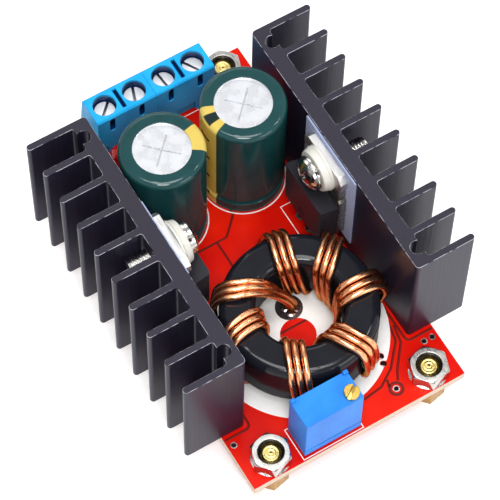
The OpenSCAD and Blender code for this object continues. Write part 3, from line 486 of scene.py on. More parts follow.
def black_anodised():
    """Black anodised extrusion: die lines up the fins, sawn grey end faces, painted highlights on
    the rims.
    """
    finish = Finish("black_anodised", (40, 38, 46), 0.36, Specular_IOR_Level=0.18,
                    Specular_Tint=(0.82, 0.78, 1.0))
    upright = abs(finish.facing(2))
    sawn = finish.step(upright, 0.55, 0.85)
    rim = finish.step(upright, 0.1, 0.3) * finish.step(upright, 0.8, 0.96, 1, 0)
    # painted highlight: the rounded rims turn pale in noisy patches, standing in for glints on the
    # edges
    rim_highlight = rim * finish.step(finish.noise(1.3, 4), 0.38, 0.56)
    die_lines = finish.noise(0.34, 3, (1, 1, 0.012))
    speckle = finish.noise(0.16)
    wall = finish.mix(die_lines, (18, 16, 27), (46, 42, 62))
    cut = finish.mix(speckle, (38, 36, 44), (60, 58, 68))
    finish.set(Base_Color=finish.mix(rim_highlight, finish.mix(sawn, wall, cut), (196, 196, 206)),
               Roughness=finish.step(sawn, 0, 1, 0.34, 0.5))
    finish.bump(die_lines * (1.0 - sawn), 0.018)
    finish.bump(speckle * sawn, 0.02)
    return finish.material


def device_metal():
    """Tinned copper tab and leads, with painted light: bright at the ear, and darker and browner
    towards the plastic as painted shade and painted reflection.
    """
    finish = Finish("device_tab", (206, 204, 202), 0.25, 1.0)
    # painted light: the tab goes from a shaded brown tone low down to a lit bright tone at the ear
    ear = finish.step(finish.along(2, node_box("diode_body")[1].z), 1.6, 4.2)
    rolled = finish.noise(0.4, 4, (1, 0.12, 1))
    shaded_tone = finish.mix(rolled, (150, 142, 132), (182, 174, 162))
    bright = finish.mix(rolled, (198, 197, 197), (220, 219, 218))
    brushed = finish.step(rolled, 0.3, 0.7, 0.18, 0.34)
    finish.set(Base_Color=finish.mix(ear, shaded_tone, bright),
               Roughness=brushed + finish.step(ear, 0, 1, 0, 0.14))
    finish.bump(rolled, 0.004)
    return finish.material


def can_aluminium(name, middle, face):
    """Bare end of a capacitor's can: faint drawing rings, and score lines darkened by painted
    shade.
    """
    finish = Finish(name, (222, 223, 227), 0.4, 0.6)
    radius = finish.radius(finish.along(0, middle.x), finish.along(1, middle.y))
    cloud = finish.noise(1.8, 1)
    bare = finish.mix(cloud, (232, 234, 238), (214, 216, 221))
    # painted shade: everything below the face, in the score grooves, is made darker
    score_shade = finish.step(face - finish.along(2), 0.03, 0.1)
    finish.set(Base_Color=finish.mix(score_shade, bare, (192, 194, 199)),
               Roughness=finish.step(cloud, 0.3, 0.7, 0.24, 0.34))
    finish.bump(finish.rings(radius, DRAWN_RINGS), 0.0015)
    finish.bump(finish.noise(0.5, 1), 0.002)
    return finish.material


def sleeve_film(name, middle, top, band_at, rim_mark):
    """Dark teal heat-shrunk film with a gold band that carries dark minus bars.
    The band's middle is at an angle round the can, counted from +X; the rim mark
    is the half angle of a dark wedge where the band folds over the rim."""
    finish = Finish(name, (24, 60, 62), 0.22, Specular_IOR_Level=0.0, Coat_Weight=0.28,
                    Coat_IOR=2.0, Coat_Roughness=0.1)
    x, y = finish.along(0, middle.x), finish.along(1, middle.y)
    across, along = turned(band_at)
    ahead, aside = x * across + y * along, y * across - x * along
    off_band = abs(finish.math("ARCTAN2", aside, ahead))

    def within(half, blur=1):
        """1 up to an angle from the middle of the band."""
        return finish.step(off_band, math.radians(half), math.radians(half + blur), 1, 0)

    below_rim = top - finish.along(2)
    bar_row = finish.math("PINGPONG", below_rim - BAR_FIRST, BAR_STEP)
    bar = finish.step(bar_row, BAR_THICK, BAR_THICK + 0.08, 1, 0) * within(BAR_HALF)
    bar = bar * finish.step(below_rim, 2.4, 2.5)
    wedge = finish.step(below_rim, 0.25, 0.35, 1, 0) * within(rim_mark, 1.5)
    cloud = finish.noise(3)
    teal = finish.mix(cloud, (20, 58, 60), (30, 76, 78))
    gold = finish.mix(cloud, (222, 198, 104), (204, 176, 80))
    marked = finish.mix(finish.math("MAXIMUM", bar, wedge), gold, (24, 40, 40))
    finish.set(Base_Color=finish.mix(within(BAND_HALF), teal, marked))
    finish.bump(finish.noise(2.2, 2, (1, 1, 0.3)), 0.03)
    return finish.material


def enamelled_copper():
    """Copper under clear enamel: warm orange with slow shifts of tone along the wire, and painted
    shade darkening it lower down towards the board.
    """
    finish = Finish("enamelled_copper", (220, 140, 90), 0.24, 1.0, Coat_Weight=0.12,
                    Coat_Roughness=0.12, Specular_Tint=(0.8, 0.45, 0.25))
    enamel = finish.mix(finish.noise(2.6), (252, 191, 145), (226, 147, 103))
    # painted shade: below the core's top the copper goes dark brown towards the board
    shade_low_down = finish.step(finish.along(2), BOARD_TOP, COIL_HIGH.z - CORE_EDGE_R, 0.8, 0)
    finish.set(Base_Color=finish.mix(shade_low_down, enamel, (126, 55, 32)),
               Roughness=finish.step(finish.noise(3, 2), 0.3, 0.7, 0.23, 0.29))
    return finish.material


def terminal_pit_shade(finish):
    """Where shade is painted: 1 down in the screw wells, slots and grooves of the terminals."""
    low, high = node_box("input_terminal_block")
    side, back = abs(low.x), TERMINAL_TOP_Y
    between_ends = finish.step(abs(finish.along(0)), side - 0.2, side - 0.08, 1, 0)
    behind_face = finish.step(finish.along(1, low.y), 0.08, 0.2)
    before_back = finish.step(finish.along(1, low.y), back - 0.5, back - 0.3, 1, 0)
    recess_shade = finish.step(high.z - finish.along(2), 0.1, 0.8)
    above_foot = finish.step(finish.along(2, low.z), 2.2, 2.4)
    return (behind_face * before_back) * (recess_shade * above_foot) * between_ends


def moulded_blue(name, light, dark, rough, gloss, pits=None):
    """Injection-moulded blue with a faint flow pattern and fine grain, darker in its pits with
    painted shade.
    """
    finish = Finish(name, light, rough, Specular_IOR_Level=gloss)
    flow = finish.step(finish.noise(4, 3, (1, 1, 0.4)), 0.35, 0.7)
    blue = finish.mix(flow, light, dark)
    if pits:
        # painted shade: the blue goes dark navy down in the pits
        blue = finish.mix(pits(finish), blue, (6, 40, 88))
    grain = finish.noise(0.18)
    finish.set(Base_Color=blue,
               Roughness=finish.step(grain, 0.3, 0.7, rough - 0.06, rough + 0.08))
    finish.bump(grain, 0.008)
    return finish.material


def terminal_nickel():
    """Brushed nickel of the terminal screws, with painted shade darkening the slots."""
    finish = Finish("terminal_nickel", (232, 232, 234), 0.42, 1.0)
    brushed = finish.noise(0.3, 4, (1, 0.15, 1), 0.5)
    plating = finish.mix(brushed, (242, 242, 244), (218, 218, 222))
    # painted shade: below the screw's top, in the slot, the nickel is made darker
    recess_shade = finish.step(node_box("terminal_screw_1")[1].z - finish.along(2), 0.08, 0.35)
    finish.set(Base_Color=finish.mix(recess_shade, plating, (136, 138, 144)),
               Roughness=finish.step(brushed, 0.3, 0.7, 0.36, 0.48))
    finish.bump(brushed, 0.002)
    return finish.material


# pieces

def linked(name, data):
    """A new object in the scene."""
    thing = bpy.data.objects.new(name, data)
    bpy.context.scene.collection.objects.link(thing)
    return thing


def finished(name, mesh, slot, *nodes, body="module"):
    """Puts a piece in place on its body and hides the nodes it stands for. The slot is not used."""
    piece = linked(name, mesh)
    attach(piece, body)
    if nodes:
        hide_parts(*nodes)


def plain_mesh(carrier):
    """The carrier's shape with its modifiers applied, as a mesh of its own; the carrier goes."""
    bpy.context.view_layer.update()
    ready = carrier.evaluated_get(bpy.context.evaluated_depsgraph_get())
    mesh = bpy.data.meshes.new_from_object(ready)
    carrier.modifiers.clear()
    bpy.data.objects.remove(carrier)
    return mesh


def mesh_of(shape, name, material):
    """A mesh with one finish from a bmesh, which goes."""
    mesh = bpy.data.meshes.new(name)
    shape.to_mesh(mesh)
    shape.free()
    mesh.materials.append(material)
    return mesh


def smooth_by_angle(mesh, degrees):
    mesh.shade_smooth()
    mesh.set_sharp_from_angle(angle=math.radians(degrees))
    return mesh


def edge_breaker(mesh, width):
    """A carrier with a mesh and a modifier that breaks its sharp edges, and the modifier."""
    carrier = linked("carrier", mesh)
    bevel = carrier.modifiers.new("broken_edge", "BEVEL")
    bevel.width = width * MM
    bevel.segments = EDGE_SEGMENTS
    bevel.limit_method = "ANGLE"
    return carrier, bevel


def dress(material, *nodes):
    """Gives CAD nodes that stay as they are their finish."""
    for name in nodes:
        slots = NODES[name].data.materials
        slots.clear()
        slots.append(material)


def slot_of(node):
    for part in frame["record"]["subparts"]:
        if part["node"] == node:
            return part["material_slot"]


def trimmed_clamp_screw(shape, middle, slot_at):
    """Draws a clamp screw's shaft in, so that it runs free in the raised cage, and narrows
    its slot."""
    axis = middle.xy * MM
    along = Vector(turned(slot_at))
    across = Vector((-along.y, along.x))
    for vert in shape.verts:
        off_axis = vert.co.xy - axis
        aside = off_axis.dot(across)
        if off_axis.length < (CLAMP_SHAFT_R + CLAMP_SHAFT_PLAY) * MM:
            vert.co.xy = axis + off_axis * (1 - CLAMP_SHAFT_PLAY / CLAMP_SHAFT_R)
        elif vert.co.z > middle.z * MM and abs(abs(aside) - CLAMP_SLOT_HALF * MM) < ON_SLOT:
            closed = aside * CLAMP_SLOT_CLOSED
            ahead = math.sqrt(off_axis.length_squared - closed ** 2)
            ahead = math.copysign(ahead, off_axis.dot(along))
            vert.co.xy = axis + along * ahead + across * closed


def eased(material, width, *nodes, slot_at=None):
    """CAD nodes with their sharp edges broken, as moulding, plating or tumbling leaves them."""
    for node in nodes:
        shape = merged_mesh(node)
        if slot_at is not None:
            trimmed_clamp_screw(shape, node_middle(node), slot_at)
        bmesh.ops.dissolve_limit(shape, angle_limit=math.radians(SAME_FACE), verts=shape.verts,
                                 edges=shape.edges)
        mesh = mesh_of(shape, node, material)
        mesh.shade_smooth()
        carrier, bevel = edge_breaker(mesh, width)
        bevel.angle_limit = math.radians(SHARP_FROM)
        bevel.use_clamp_overlap = False
        carrier.modifiers.new("flat_faces", "WEIGHTED_NORMAL").keep_sharp = True
        finished(node + "_dressed", plain_mesh(carrier), slot_of(node), node,
                 body=NODES[node]["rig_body"])


# Geometry Nodes

class Shaper(NodeMaker):
    """A Geometry Nodes tree with named inputs for its sizes."""
    FAMILY = "GeometryNode"
    KINDS = {float: "NodeSocketFloat", int: "NodeSocketInt",
             bpy.types.Material: "NodeSocketMaterial"}

    def __init__(self, name, **inputs):
        super().__init__(bpy.data.node_groups.new(name, "GeometryNodeTree"))
        face = self.tree.interface
        face.new_socket("Geometry", in_out="INPUT", socket_type="NodeSocketGeometry")
        self.values = {}
        for label, value in inputs.items():
            socket = face.new_socket(label.replace("_", " "), in_out="INPUT",
                                     socket_type=self.KINDS[type(value)])
            self.values[socket.identifier] = value
        face.new_socket("Geometry", in_out="OUTPUT", socket_type="NodeSocketGeometry")
        self.given = self.tree.nodes.new("NodeGroupInput").outputs
        self.result = self.tree.nodes.new("NodeGroupOutput").inputs[0]

    def __getitem__(self, label):
        """One of the tree's named inputs."""
        return Field(self, self.given[label])

    def point_vector(self, name):
        """A vector that each of the carrier's points holds by name."""
        return self.add("InputNamedAttribute", {"Name": name}, "Attribute",
                        data_type="FLOAT_VECTOR")

    def point_turn(self):
        turn = {0: self.point_vector("turn")}
        return Field(self, self.outputs("FunctionNodeEulerToRotation", turn)[0])

    def rod(self, radius, length, corners, levels):
        """An upright cylinder with levels along it, and the X, Y and Z of its points."""
        rod = self.add("MeshCylinder", {"Vertices": corners, "Side Segments": levels,
                                        "Fill Segments": 1, "Radius": radius,
                                        "Depth": length}, "Mesh", fill_type="NGON")
        return rod, self.split(self.add("InputPosition"))

    def moved(self, geometry, x, y, z):
        """The geometry with its points at other places."""
        return self.add("SetPosition", {"Geometry": geometry, "Position": self.vector(x, y, z)})

    def on_points(self, thing, **inputs):
        """A thing at each of the carrier's points."""
        return self.add("InstanceOnPoints",
                        {"Points": self["Geometry"], "Instance": thing, **inputs})

    def joined(self, parts):
        """Several geometries as one."""
        whole = self.tree.nodes.new("GeometryNodeJoinGeometry")
        for part in parts:
            self.put(whole.inputs[0], part)
        return Field(self, whole.outputs[0])

    def painted(self, geometry, material):
        return self.add("SetMaterial", {"Geometry": geometry, "Material": material})

    def made(self, geometry, carrier_mesh, one_finish=True):
        """Ends the tree in Realize Instances and, for one finish, Set Material, and gives its
        result on a carrier mesh as a plain mesh."""
        real = self.add("RealizeInstances", {"Geometry": geometry})
        if one_finish:
            real = self.painted(real, self["Finish"])
        self.put(self.result, real)
        carrier = linked("carrier", carrier_mesh)
        modifier = carrier.modifiers.new("tree", "NODES")
        modifier.node_group = self.tree
        for identifier, value in self.values.items():
            modifier[identifier] = value
        return plain_mesh(carrier)


def path_mesh(lines, loops=()):
    """A mesh of open lines and closed loops of points in millimetres, for a tree to follow."""
    points, edges = [], []
    for chains, closed in ((lines, False), (loops, True)):
        for chain in chains:
            first = len(points)
            points += [Vector(p) * MM for p in chain]
            edges += [(k, k + 1) for k in range(first, len(points) - 1)]
            if closed:
                edges.append((len(points) - 1, first))
    mesh = bpy.data.meshes.new("path")
    mesh.from_pydata(points, edges, [])
    return mesh


def spot_mesh(spots, **values):
    """A mesh of loose points in millimetres, with a vector for each by name."""
    mesh = bpy.data.meshes.new("spots")
    mesh.from_pydata([Vector(p) * MM for p in spots], [], [])
    for name, vectors in values.items():
        field = mesh.attributes.new(name, "FLOAT_VECTOR", "POINT")
        for item, vector in zip(field.data, vectors):
            item.vector = vector
    return mesh


# winding

WIRE_OFF = WIRE_GAP + WIRE_D / 2
BEND_R = CORE_EDGE_R + WIRE_OFF
CORE_R = (COIL_HIGH.x - COIL_LOW.x) / 2
PATH_OUT = CORE_R + WIRE_OFF
PATH_IN = CORE_BORE / 2 - WIRE_OFF
LEAD_END = solid_boxes("trimmer_pins")[0][0].z
COIL_LAND = Vector((COIL.x + 1.0, COIL.y + 4.3, BOARD_TOP))


def round_coil(radius, degrees, height):
    """A point by its distance from the coil's axis and its angle round it."""
    across, along = turned(degrees)
    return Vector((COIL.x + radius * across, COIL.y + radius * along, height))


def bend_point(corner, degrees):
    """Radius and height on one of the four rounded corners of a turn, outside bottom first."""
    outer, inner = CORE_R - CORE_EDGE_R, CORE_BORE / 2 + CORE_EDGE_R
    low, high = COIL_LOW.z + CORE_EDGE_R, COIL_HIGH.z - CORE_EDGE_R
    corners = ((outer, low, 270), (outer, high, 0), (inner, high, 90), (inner, low, 180))
    radius, height, start = corners[corner % 4]
    across, up = turned(start + degrees)
    return radius + BEND_R * across, height + BEND_R * up


def side_points(side, start, stop, strand, bow):
    """One side of a turn, from the middle of a bend to the middle of the next, slanting
    evenly from one angle round the core to another and standing off the core by a bow."""
    length = COIL_HIGH.z - COIL_LOW.z if side % 2 == 0 else CORE_R - CORE_BORE / 2
    straight = length - 2 * CORE_EDGE_R
    half_bend = BEND_R * math.pi / 4
    whole = straight + 2 * half_bend
    spread = UNDER_SPREAD if side == 3 else 1.0
    out, up = ((1, 0), (0, 1), (-1, 0), (0, -1))[side]
    points = []
    for k in range(SIDE_SAMPLES):
        run = whole * (k + 0.5) / SIDE_SAMPLES
        if run < half_bend:
            radius, height = bend_point(side, 45 + 45 * run / half_bend)
        elif run > straight + half_bend:
            radius, height = bend_point(side + 1, 45 * (run - straight - half_bend) / half_bend)
        else:
            share = (run - half_bend) / straight
            here, there = bend_point(side, 90), bend_point(side + 1, 0)
            radius, height = (a + (b - a) * share for a, b in zip(here, there))
        off = bow * math.sin(math.pi * run / whole) ** 2
        radius, height = radius + off * out, height + off * up
        aside = math.degrees(strand * spread * STRAND_PITCH / radius)
        points.append(round_coil(radius, start + (stop - start) * run / whole + aside, height))
    return points


def evened_turns(points):
    """Points with their angles round the core evened out, so that the wire sweeps over its
    bends."""
    flat = [(p.x - COIL.x, p.y - COIL.y) for p in points]
    angles = [math.atan2(flat[0][1], flat[0][0])]
    for x, y in flat[1:]:
        turn = math.atan2(y, x) - angles[-1]
        angles.append(angles[-1] + math.remainder(turn, 2 * math.pi))
    for _ in range(EVEN_PASSES):
        inner = [(a + 2 * b + c) / 4 for a, b, c in zip(angles, angles[1:], angles[2:])]
        angles = angles[:1] + inner + angles[-1:]
    return [round_coil(math.hypot(x, y), math.degrees(angle), point.z)
            for (x, y), angle, point in zip(flat, angles, points)]


def swept(first, pull, hang, last):
    """Points of a smooth sweep from one place to another, drawn by two more places."""
    points = []
    for k in range(1, SWEEP_SAMPLES + 1):
        t = k / SWEEP_SAMPLES
        points.append(first * (1 - t) ** 3 + pull * 3 * t * (1 - t) ** 2
                      + hang * 3 * t * t * (1 - t) + last * t ** 3)
    return points


def strand_path(strand):
    """One strand from its start through the board, seven turns round the core, to its end."""
    flare = math.degrees(strand * START_FLARE * STRAND_PITCH / PATH_OUT)
    start = round_coil(PATH_OUT, TURN_AT[0] + TOP_SLANT / 2 + RISE_SLANT + flare, LEAD_END)
    lead_in = [start + UP * rise for rise in (0, BOARD_TOP - LEAD_END,
                                              BOARD_TOP + WIRE_D - LEAD_END)]
    points = []
    for k, middle in enumerate(TURN_AT):
        high, low = middle + TOP_SLANT / 2, middle - TOP_SLANT / 2
        lean = FIRST_LEAN if k == 0 else 0
        bow = LOOSE_BOW if k == LOOSE_TURN else SIDE_BOW[0]
        rise = side_points(0, high + RISE_SLANT, high + lean, strand, bow)
        points += rise[RISE_SKIPPED:] if k == 0 else rise
        points += side_points(1, high + lean, low, strand, SIDE_BOW[1])
        if k + 1 < len(TURN_AT):
            following = TURN_AT[k + 1] + TOP_SLANT / 2 + RISE_SLANT
            under = (low + following) / 2
            points += side_points(2, low, under, strand, SIDE_BOW[2])
            points += side_points(3, under, following, strand, SIDE_BOW[3])
    points = evened_turns(points)[:-TURN_SKIPPED]
    last = points[-1]
    spot = END_SPOTS[strand + 1]
    hole = Vector((COIL.x + PATH_IN * spot[0], COIL.y + PATH_IN * spot[1], BOARD_TOP))
    entry = COIL_LAND.lerp(hole, GATHERED)
    end = entry + UP * END_LIFT * WIRE_D
    crossing = (last - points[-2]).normalized()
    to_end = Vector((end.x - last.x, end.y - last.y, 0)).normalized()
    pull = last + (crossing + to_end).normalized() * PULL_OUT + UP * PULL_UP
    hang = end.lerp(pull, HANG_BACK) + UP * HANG_UP
    points += swept(last, pull, hang, end)
    below = [Vector((hole.x, hole.y, height))
             for height in (BOARD_UNDER + 0.4, BOARD_UNDER, LEAD_END)]
    return lead_in + points + [entry] + below


def wind_coil(copper):
    """The three strands as smooth round wire."""
    tree = Shaper("wound_strand", Wire_Size=WIRE_D * MM, Step=0.22 * MM, Sides=14, Finish=copper)
    curve = tree.add("MeshToCurve", {"Mesh": tree["Geometry"]})
    curve = tree.add("CurveSplineType", {"Curve": curve}, spline_type="CATMULL_ROM")
    curve = tree.add("ResampleCurve", {"Curve": curve, "Length": tree["Step"]}, mode="LENGTH")
    ring = tree.add("CurvePrimitiveCircle", {"Resolution": tree["Sides"],
                                             "Radius": tree["Wire Size"] / 2.0})
    wire = tree.add("CurveToMesh", {"Curve": curve, "Profile Curve": ring, "Fill Caps": True})
    mesh = tree.made(wire, path_mesh([strand_path(strand) for strand in STRANDS]))
    finished("wound_strands", smooth_by_angle(mesh, 50), "copper", "coil_winding")


# board print and copper: lines, plates and rings from points in the plane

def circle_points(middle, radius, count):
    return [(middle[0] + radius * x, middle[1] + radius * y)
            for x, y in (turned(360 * k / count) for k in range(count))]


def box_points(low, high):
    return [(low.x, low.y), (high.x, low.y), (high.x, high.y), (low.x, high.y)]


def raised(points, height):
    """Points of the plane at a height."""
    return [(x, y, height) for x, y in points]


def printed_lines(name, layer, above, width, lines, loops=(), fillet=0.0):
    """Flat lines of even width on one side of the board, along open lines and closed loops."""
    material, thick, slot = layer
    height = BOARD_TOP + thick / 2 if above else BOARD_UNDER - thick / 2
    tree = Shaper(name + "_tree", Width=width * MM, Thickness=thick * MM,
                  Corner_Radius=fillet * MM, Finish=material)
    curve = tree.add("MeshToCurve", {"Mesh": tree["Geometry"]})
    if fillet:
        curve = tree.add("FilletCurve", {"Curve": curve, "Radius": tree["Corner Radius"],
                                         "Count": 6, "Limit Radius": True}, mode="POLY")
    curve = tree.add("SetCurveNormal", {"Curve": curve}, mode="Z_UP")
    strip = tree.add("CurvePrimitiveQuadrilateral", {"Width": tree["Width"],
                                                     "Height": tree["Thickness"]})
    line = tree.add("CurveToMesh", {"Curve": curve, "Profile Curve": strip, "Fill Caps": True})
    paths = path_mesh([raised(points, height) for points in lines],
                      [raised(points, height) for points in loops])
    finished(name, tree.made(line, paths), slot)


def laid(name, layer, shape):
    """Puts a flat shape on the board as a piece."""
    material, _, slot = layer
    bmesh.ops.recalc_face_normals(shape, faces=shape.faces)
    finished(name, smooth_by_angle(mesh_of(shape, name, material), 40), slot)


def flat_plate(name, layer, outline, openings):
    """A thin flat plate on the upper side, from an outline with openings."""
    thick = layer[1]
    shape = bmesh.new()
    for loop in (outline, *openings):
        verts = [shape.verts.new(Vector(p) * MM) for p in raised(loop, BOARD_TOP)]
        for one, two in zip(verts, verts[1:] + verts[:1]):
            shape.edges.new((one, two))
    bmesh.ops.triangle_fill(shape, use_beauty=True, edges=shape.edges)
    upper = bmesh.ops.extrude_face_region(shape, geom=shape.faces[:])["geom"]
    for vert in (v for v in upper if isinstance(v, bmesh.types.BMVert)):
        vert.co.z += thick * MM
    laid(name, layer, shape)


def flat_rings(name, layer, count, rings):
    """Flat rings: middle, inner and outer radius, and whether they lie on the upper side."""
    thick = layer[1]
    shape = bmesh.new()
    for middle, inner, outer, above in rings:
        base = BOARD_TOP if above else BOARD_UNDER
        face = base + thick if above else base - thick
        levels = []
        for radius, height in ((inner, base), (outer, base), (outer, face), (inner, face)):
            points = raised(circle_points(middle, radius, count), height)
            levels.append([shape.verts.new(Vector(p) * MM) for p in points])
        for one, two in zip(levels, levels[1:] + levels[:1]):
            for k in range(count):
                n = (k + 1) % count
                shape.faces.new((one[k], one[n], two[n], two[k]))
    laid(name, layer, shape)


# finishes of all nodes

MASK = red_board()
GAP = drifting("etched_gap_red", 0.5, (90, 14, 12), (124, 28, 22), (0.8,), (0.3,), 0.004,
               Specular_IOR_Level=0.2)
PRINT = drifting("white_print", 0.55, (252, 252, 250), (243, 241, 238), (0.5, 4), (0.12,), 0.006)
TIN = bare_tin()
BRASS = turned_brass()
NICKEL = drifting("bright_nickel", 0.16, (214, 212, 208), (180, 178, 176), (1.4,),
                  (0.5, 5, (1, 0.25, 1), 0.6), 0.006, (0.35, 0.75, 0.1, 0.34), 1.0)
EPOXY = drifting("moulded_epoxy", 0.5, (28, 28, 34), (46, 46, 54), (2.5,), (0.12,), 0.012,
                 (0.3, 0.7, 0.42, 0.62), Specular_IOR_Level=0.35)
SOLDER = drifting("bright_solder", 0.2, (220, 222, 225), (170, 172, 178), (0.5,), None, 0.02,
                  (0.3, 0.7, 0.12, 0.32), 1.0)
DARK_LAND = drifting("flux_darkened_land", 0.28, (40, 34, 38), (96, 88, 94), (0.5, 4), (0.4,),
                     0.03, metal=0.6)
TRIMMER_BRASS = drifting("trimmer_brass", 0.28, (232, 198, 106), (186, 146, 66), (0.5, 4),
                         (0.25, 3, (1, 0.2, 1)), 0.01, metal=1.0)
PAD = drifting("silicone_pad", 0.6, (146, 160, 204), (176, 186, 220), (0.3,), None, 0.02,
               Sheen_Weight=0.15)
BUSHING = drifting("cream_nylon", 0.38, (236, 232, 224), (218, 212, 200), (1.5,), (0.2,), 0.008,
                   Subsurface_Weight=0.08)
RUBBER = drifting("bung_rubber", 0.75, (24, 24, 26), (42, 42, 44), (0.6,), (0.2,), 0.02)
CORE = drifting("core_epoxy", 0.3, (18, 19, 24), (32, 33, 41), (3,), (2.2, 2), 0.02,
                Specular_IOR_Level=0.0, Coat_Weight=0.22, Coat_IOR=2.0, Coat_Roughness=0.12)
LAMP = drifting("lamp_resin", 0.08, (226, 30, 20), (180, 10, 10), (1.2, 2), (0.6,), 0.006,
                Transmission_Weight=0.35, IOR=1.5)
TERMINAL_BLUE = moulded_blue("terminal_blue", (44, 178, 241), (32, 162, 231), 0.36, 0.08,
                             terminal_pit_shade)
TRIMMER_BLUE = moulded_blue("trimmer_blue", (42, 140, 238), (32, 126, 226), 0.4, 0.2)
TERMINAL_NICKEL = terminal_nickel()

# layers on the board: finish, thickness and slot
INK = (PRINT, PRINT_T, "bushing_cream")
ETCHED = (GAP, GAP_LINE_T, "board_red")
TINNED = (TIN, PAD_T, "tinned_metal")
DARKENED = (DARK_LAND, PAD_T, "solder")

dress(MASK, "pcb")
dress(PAD, "diode_pad", "mosfet_pad")
dress(RUBBER, "input_cap_bung", "output_cap_bung")
dress(CORE, "coil_core")
dress(LAMP, "lamp_lens")
dress(TIN, "input_cap_leads", "output_cap_leads", "trimmer_pins", "lamp_leads", "controller_pins")
dress(BRASS, "terminal_contacts")
for side, band_at, rim_mark in (("input", -11, NO_RIM_MARK), ("output", 179, 8)):
    sleeve = side + "_cap_sleeve"
    middle, rim = node_middle(sleeve), node_box(sleeve)[1].z
    dress(can_aluminium(side + "_can_aluminium", middle, rim - VENT_SINK), side + "_cap_can")
    dress(sleeve_film(side + "_sleeve_film", middle, rim, band_at, rim_mark), sleeve)

eased(black_anodised(), 0.1, "diode_heatsink", "mosfet_heatsink")
eased(EPOXY, 0.1, "diode_body", "mosfet_body", "controller_body")
eased(device_metal(), 0.07, "diode_leadframe", "mosfet_leadframe")
eased(BUSHING, 0.08, "diode_bushing", "mosfet_bushing")
eased(TERMINAL_BLUE, 0.1, "input_terminal_block", "output_terminal_block")
eased(TRIMMER_BLUE, 0.12, "trimmer_case")
eased(TRIMMER_BRASS, 0.06, "trimmer_screw")
eased(BRASS, 0.06, "standoffs")
eased(nut_nickel(), 0.05, "standoff_nuts")
eased(NICKEL, 0.06, "device_spring_washers")
for pole in range(1, 5):
    slot_at = CLAMP_SLOT_AT + CLAMP_SLOT_STEP * (pole - 1)
    eased(TERMINAL_NICKEL, 0.06, "terminal_screw_%d" % pole, slot_at=slot_at)
    eased(NICKEL, 0.08, "clamp_cage_%d" % pole)

wind_coil(enamelled_copper())


# board: white print, etched gaps, lands and pads

def lead_spots():
    """Each lead that goes through the board: its middle and its half size."""
    spots = []
    for name in ("diode_leadframe", "mosfet_leadframe", "input_cap_leads", "output_cap_leads",
                 "trimmer_pins", "terminal_contacts", "lamp_leads"):
        for low, high in solid_boxes(name):
            if low.z > BOARD_UNDER:
                continue
            wide = DEVICE_LEG_W if "leadframe" in name else high.x - low.x
            if name == "terminal_contacts":
                high.y = low.y + CONTACT_PIN_T
                wide = CONTACT_PIN_W
            spots.append(((low.x + high.x) / 2, (low.y + high.y) / 2, wide / 2))
    for strand in STRANDS:
        path = strand_path(strand)
        spots += [(path[k].x, path[k].y, WIRE_D / 2) for k in (0, -1)]
    return spots


LEADS = lead_spots()
SPARE_HOLES = [(COIL.x + x, COIL.y + y) for x, y in ((4.84, -10.75), (8.44, -9.4), (8.17, -10.65))]
SINGLE_VIA = (NUTS[-1].x - 5.5, BOARD_LOW.y + 3.0)


def drawn_back(points, middle, hole, radius):
    """Points of a round outline, those inside a hole drawn back towards the middle to its rim."""
    middle, hole = Vector(middle), Vector(hole)
    result = []
    for point in map(Vector, points):
        if (point - hole).length < radius:
            ray = (point - middle).normalized()
            near = (hole - middle).dot(ray)
            aside = (middle + ray * near - hole).length
            point = middle + ray * (near - math.sqrt(radius ** 2 - aside ** 2))
        result.append(point)
    return result


def print_top():
    """White print on the upper side: coil disc, rings and outlines round the parts."""
    middle = (COIL.x - 0.1, COIL.y - 0.2)
    openings = [circle_points(middle, DISC_OPENING_R, 48)]
    openings += [circle_points(spot, HOLE_ROOM_R, 20) for spot in SPARE_HOLES[:2]]
    outline = drawn_back(circle_points(middle, DISC_R, 360), middle, SPARE_HOLES[2], HOLE_ROOM_R)
    flat_plate("coil_disc_print", INK, outline, openings)
    lines, loops = [], []
    for name, axis, room, count in (("input_cap_sleeve", 0, 0.22, 96),
                                    ("output_cap_sleeve", 0, 0.22, 96), ("lamp_lens", 1, 0.35, 40)):
        low, high = node_box(name)
        radius = (high[axis] - low[axis]) / 2 + room
        loops.append(circle_points((low + high) / 2, radius, count))
    for name, room_below, room_above in (("trimmer_case", (0.3, 0.3, 0), (0.3, 0.3, 0)),
                                         ("input_terminal_block", (0, 0.3, 0), (0, 0.05, 0)),
                                         ("output_terminal_block", (0, 0.3, 0), (0, 0.05, 0))):
        low, high = node_box(name)
        loops.append(box_points(low - Vector(room_below), high + Vector(room_above)))
    for name, hand in (("diode_body", -1), ("mosfet_body", 1)):
        low, high = node_box(name)
        inner, outer = (high.x + 0.2, low.x - 0.4) if hand < 0 else (low.x - 0.2, high.x + 0.4)
        front, back = low.y - 0.3, high.y + 0.3
        lines.append([(outer, back), (inner, back), (inner, front), (outer, front)])
    printed_lines("outline_print", INK, True, 0.2, lines, loops)


def etch_top():
    """Gaps in the copper on the upper side, seen as dark red lines."""
    lines = []
    for name, hand in (("diode_heatsink", -1), ("mosfet_heatsink", 1)):
        low, high = node_box(name)
        inner = high.x + 0.55 if hand < 0 else low.x - 0.55
        edge, front, back = hand * (BOARD_HIGH.x - 0.2), low.y - 0.7, high.y + 0.7
        lines.append([(edge, front), (inner, front), (inner, back), (edge, back)])
    lines += [[(-12.6, 4.5), (-0.6, 4.6), (2.2, 7.4), (3.2, 22.0)],
              [(-2.3, 4.5), (-2.3, -2.5)],
              [(COIL.x - 2.6, -13.25), (COIL.x + 2.6, -13.25)],
              [(12.75, -19.6), (12.1, -22.9), (9.0, -26.4), (6.2, -28.2), (3.0, -28.6)],
              [(13.15, -20.6), (12.6, -23.5), (9.75, -27.0), (8.9, -28.5)],
              [(7.6, -27.6), (7.25, -28.7)]]
    printed_lines("etched_gaps", ETCHED, True, 0.36, lines, fillet=0.8)
    flat_rings("via_gap_ring", ETCHED, 40, [(SINGLE_VIA, *VIA_GAP, True)])


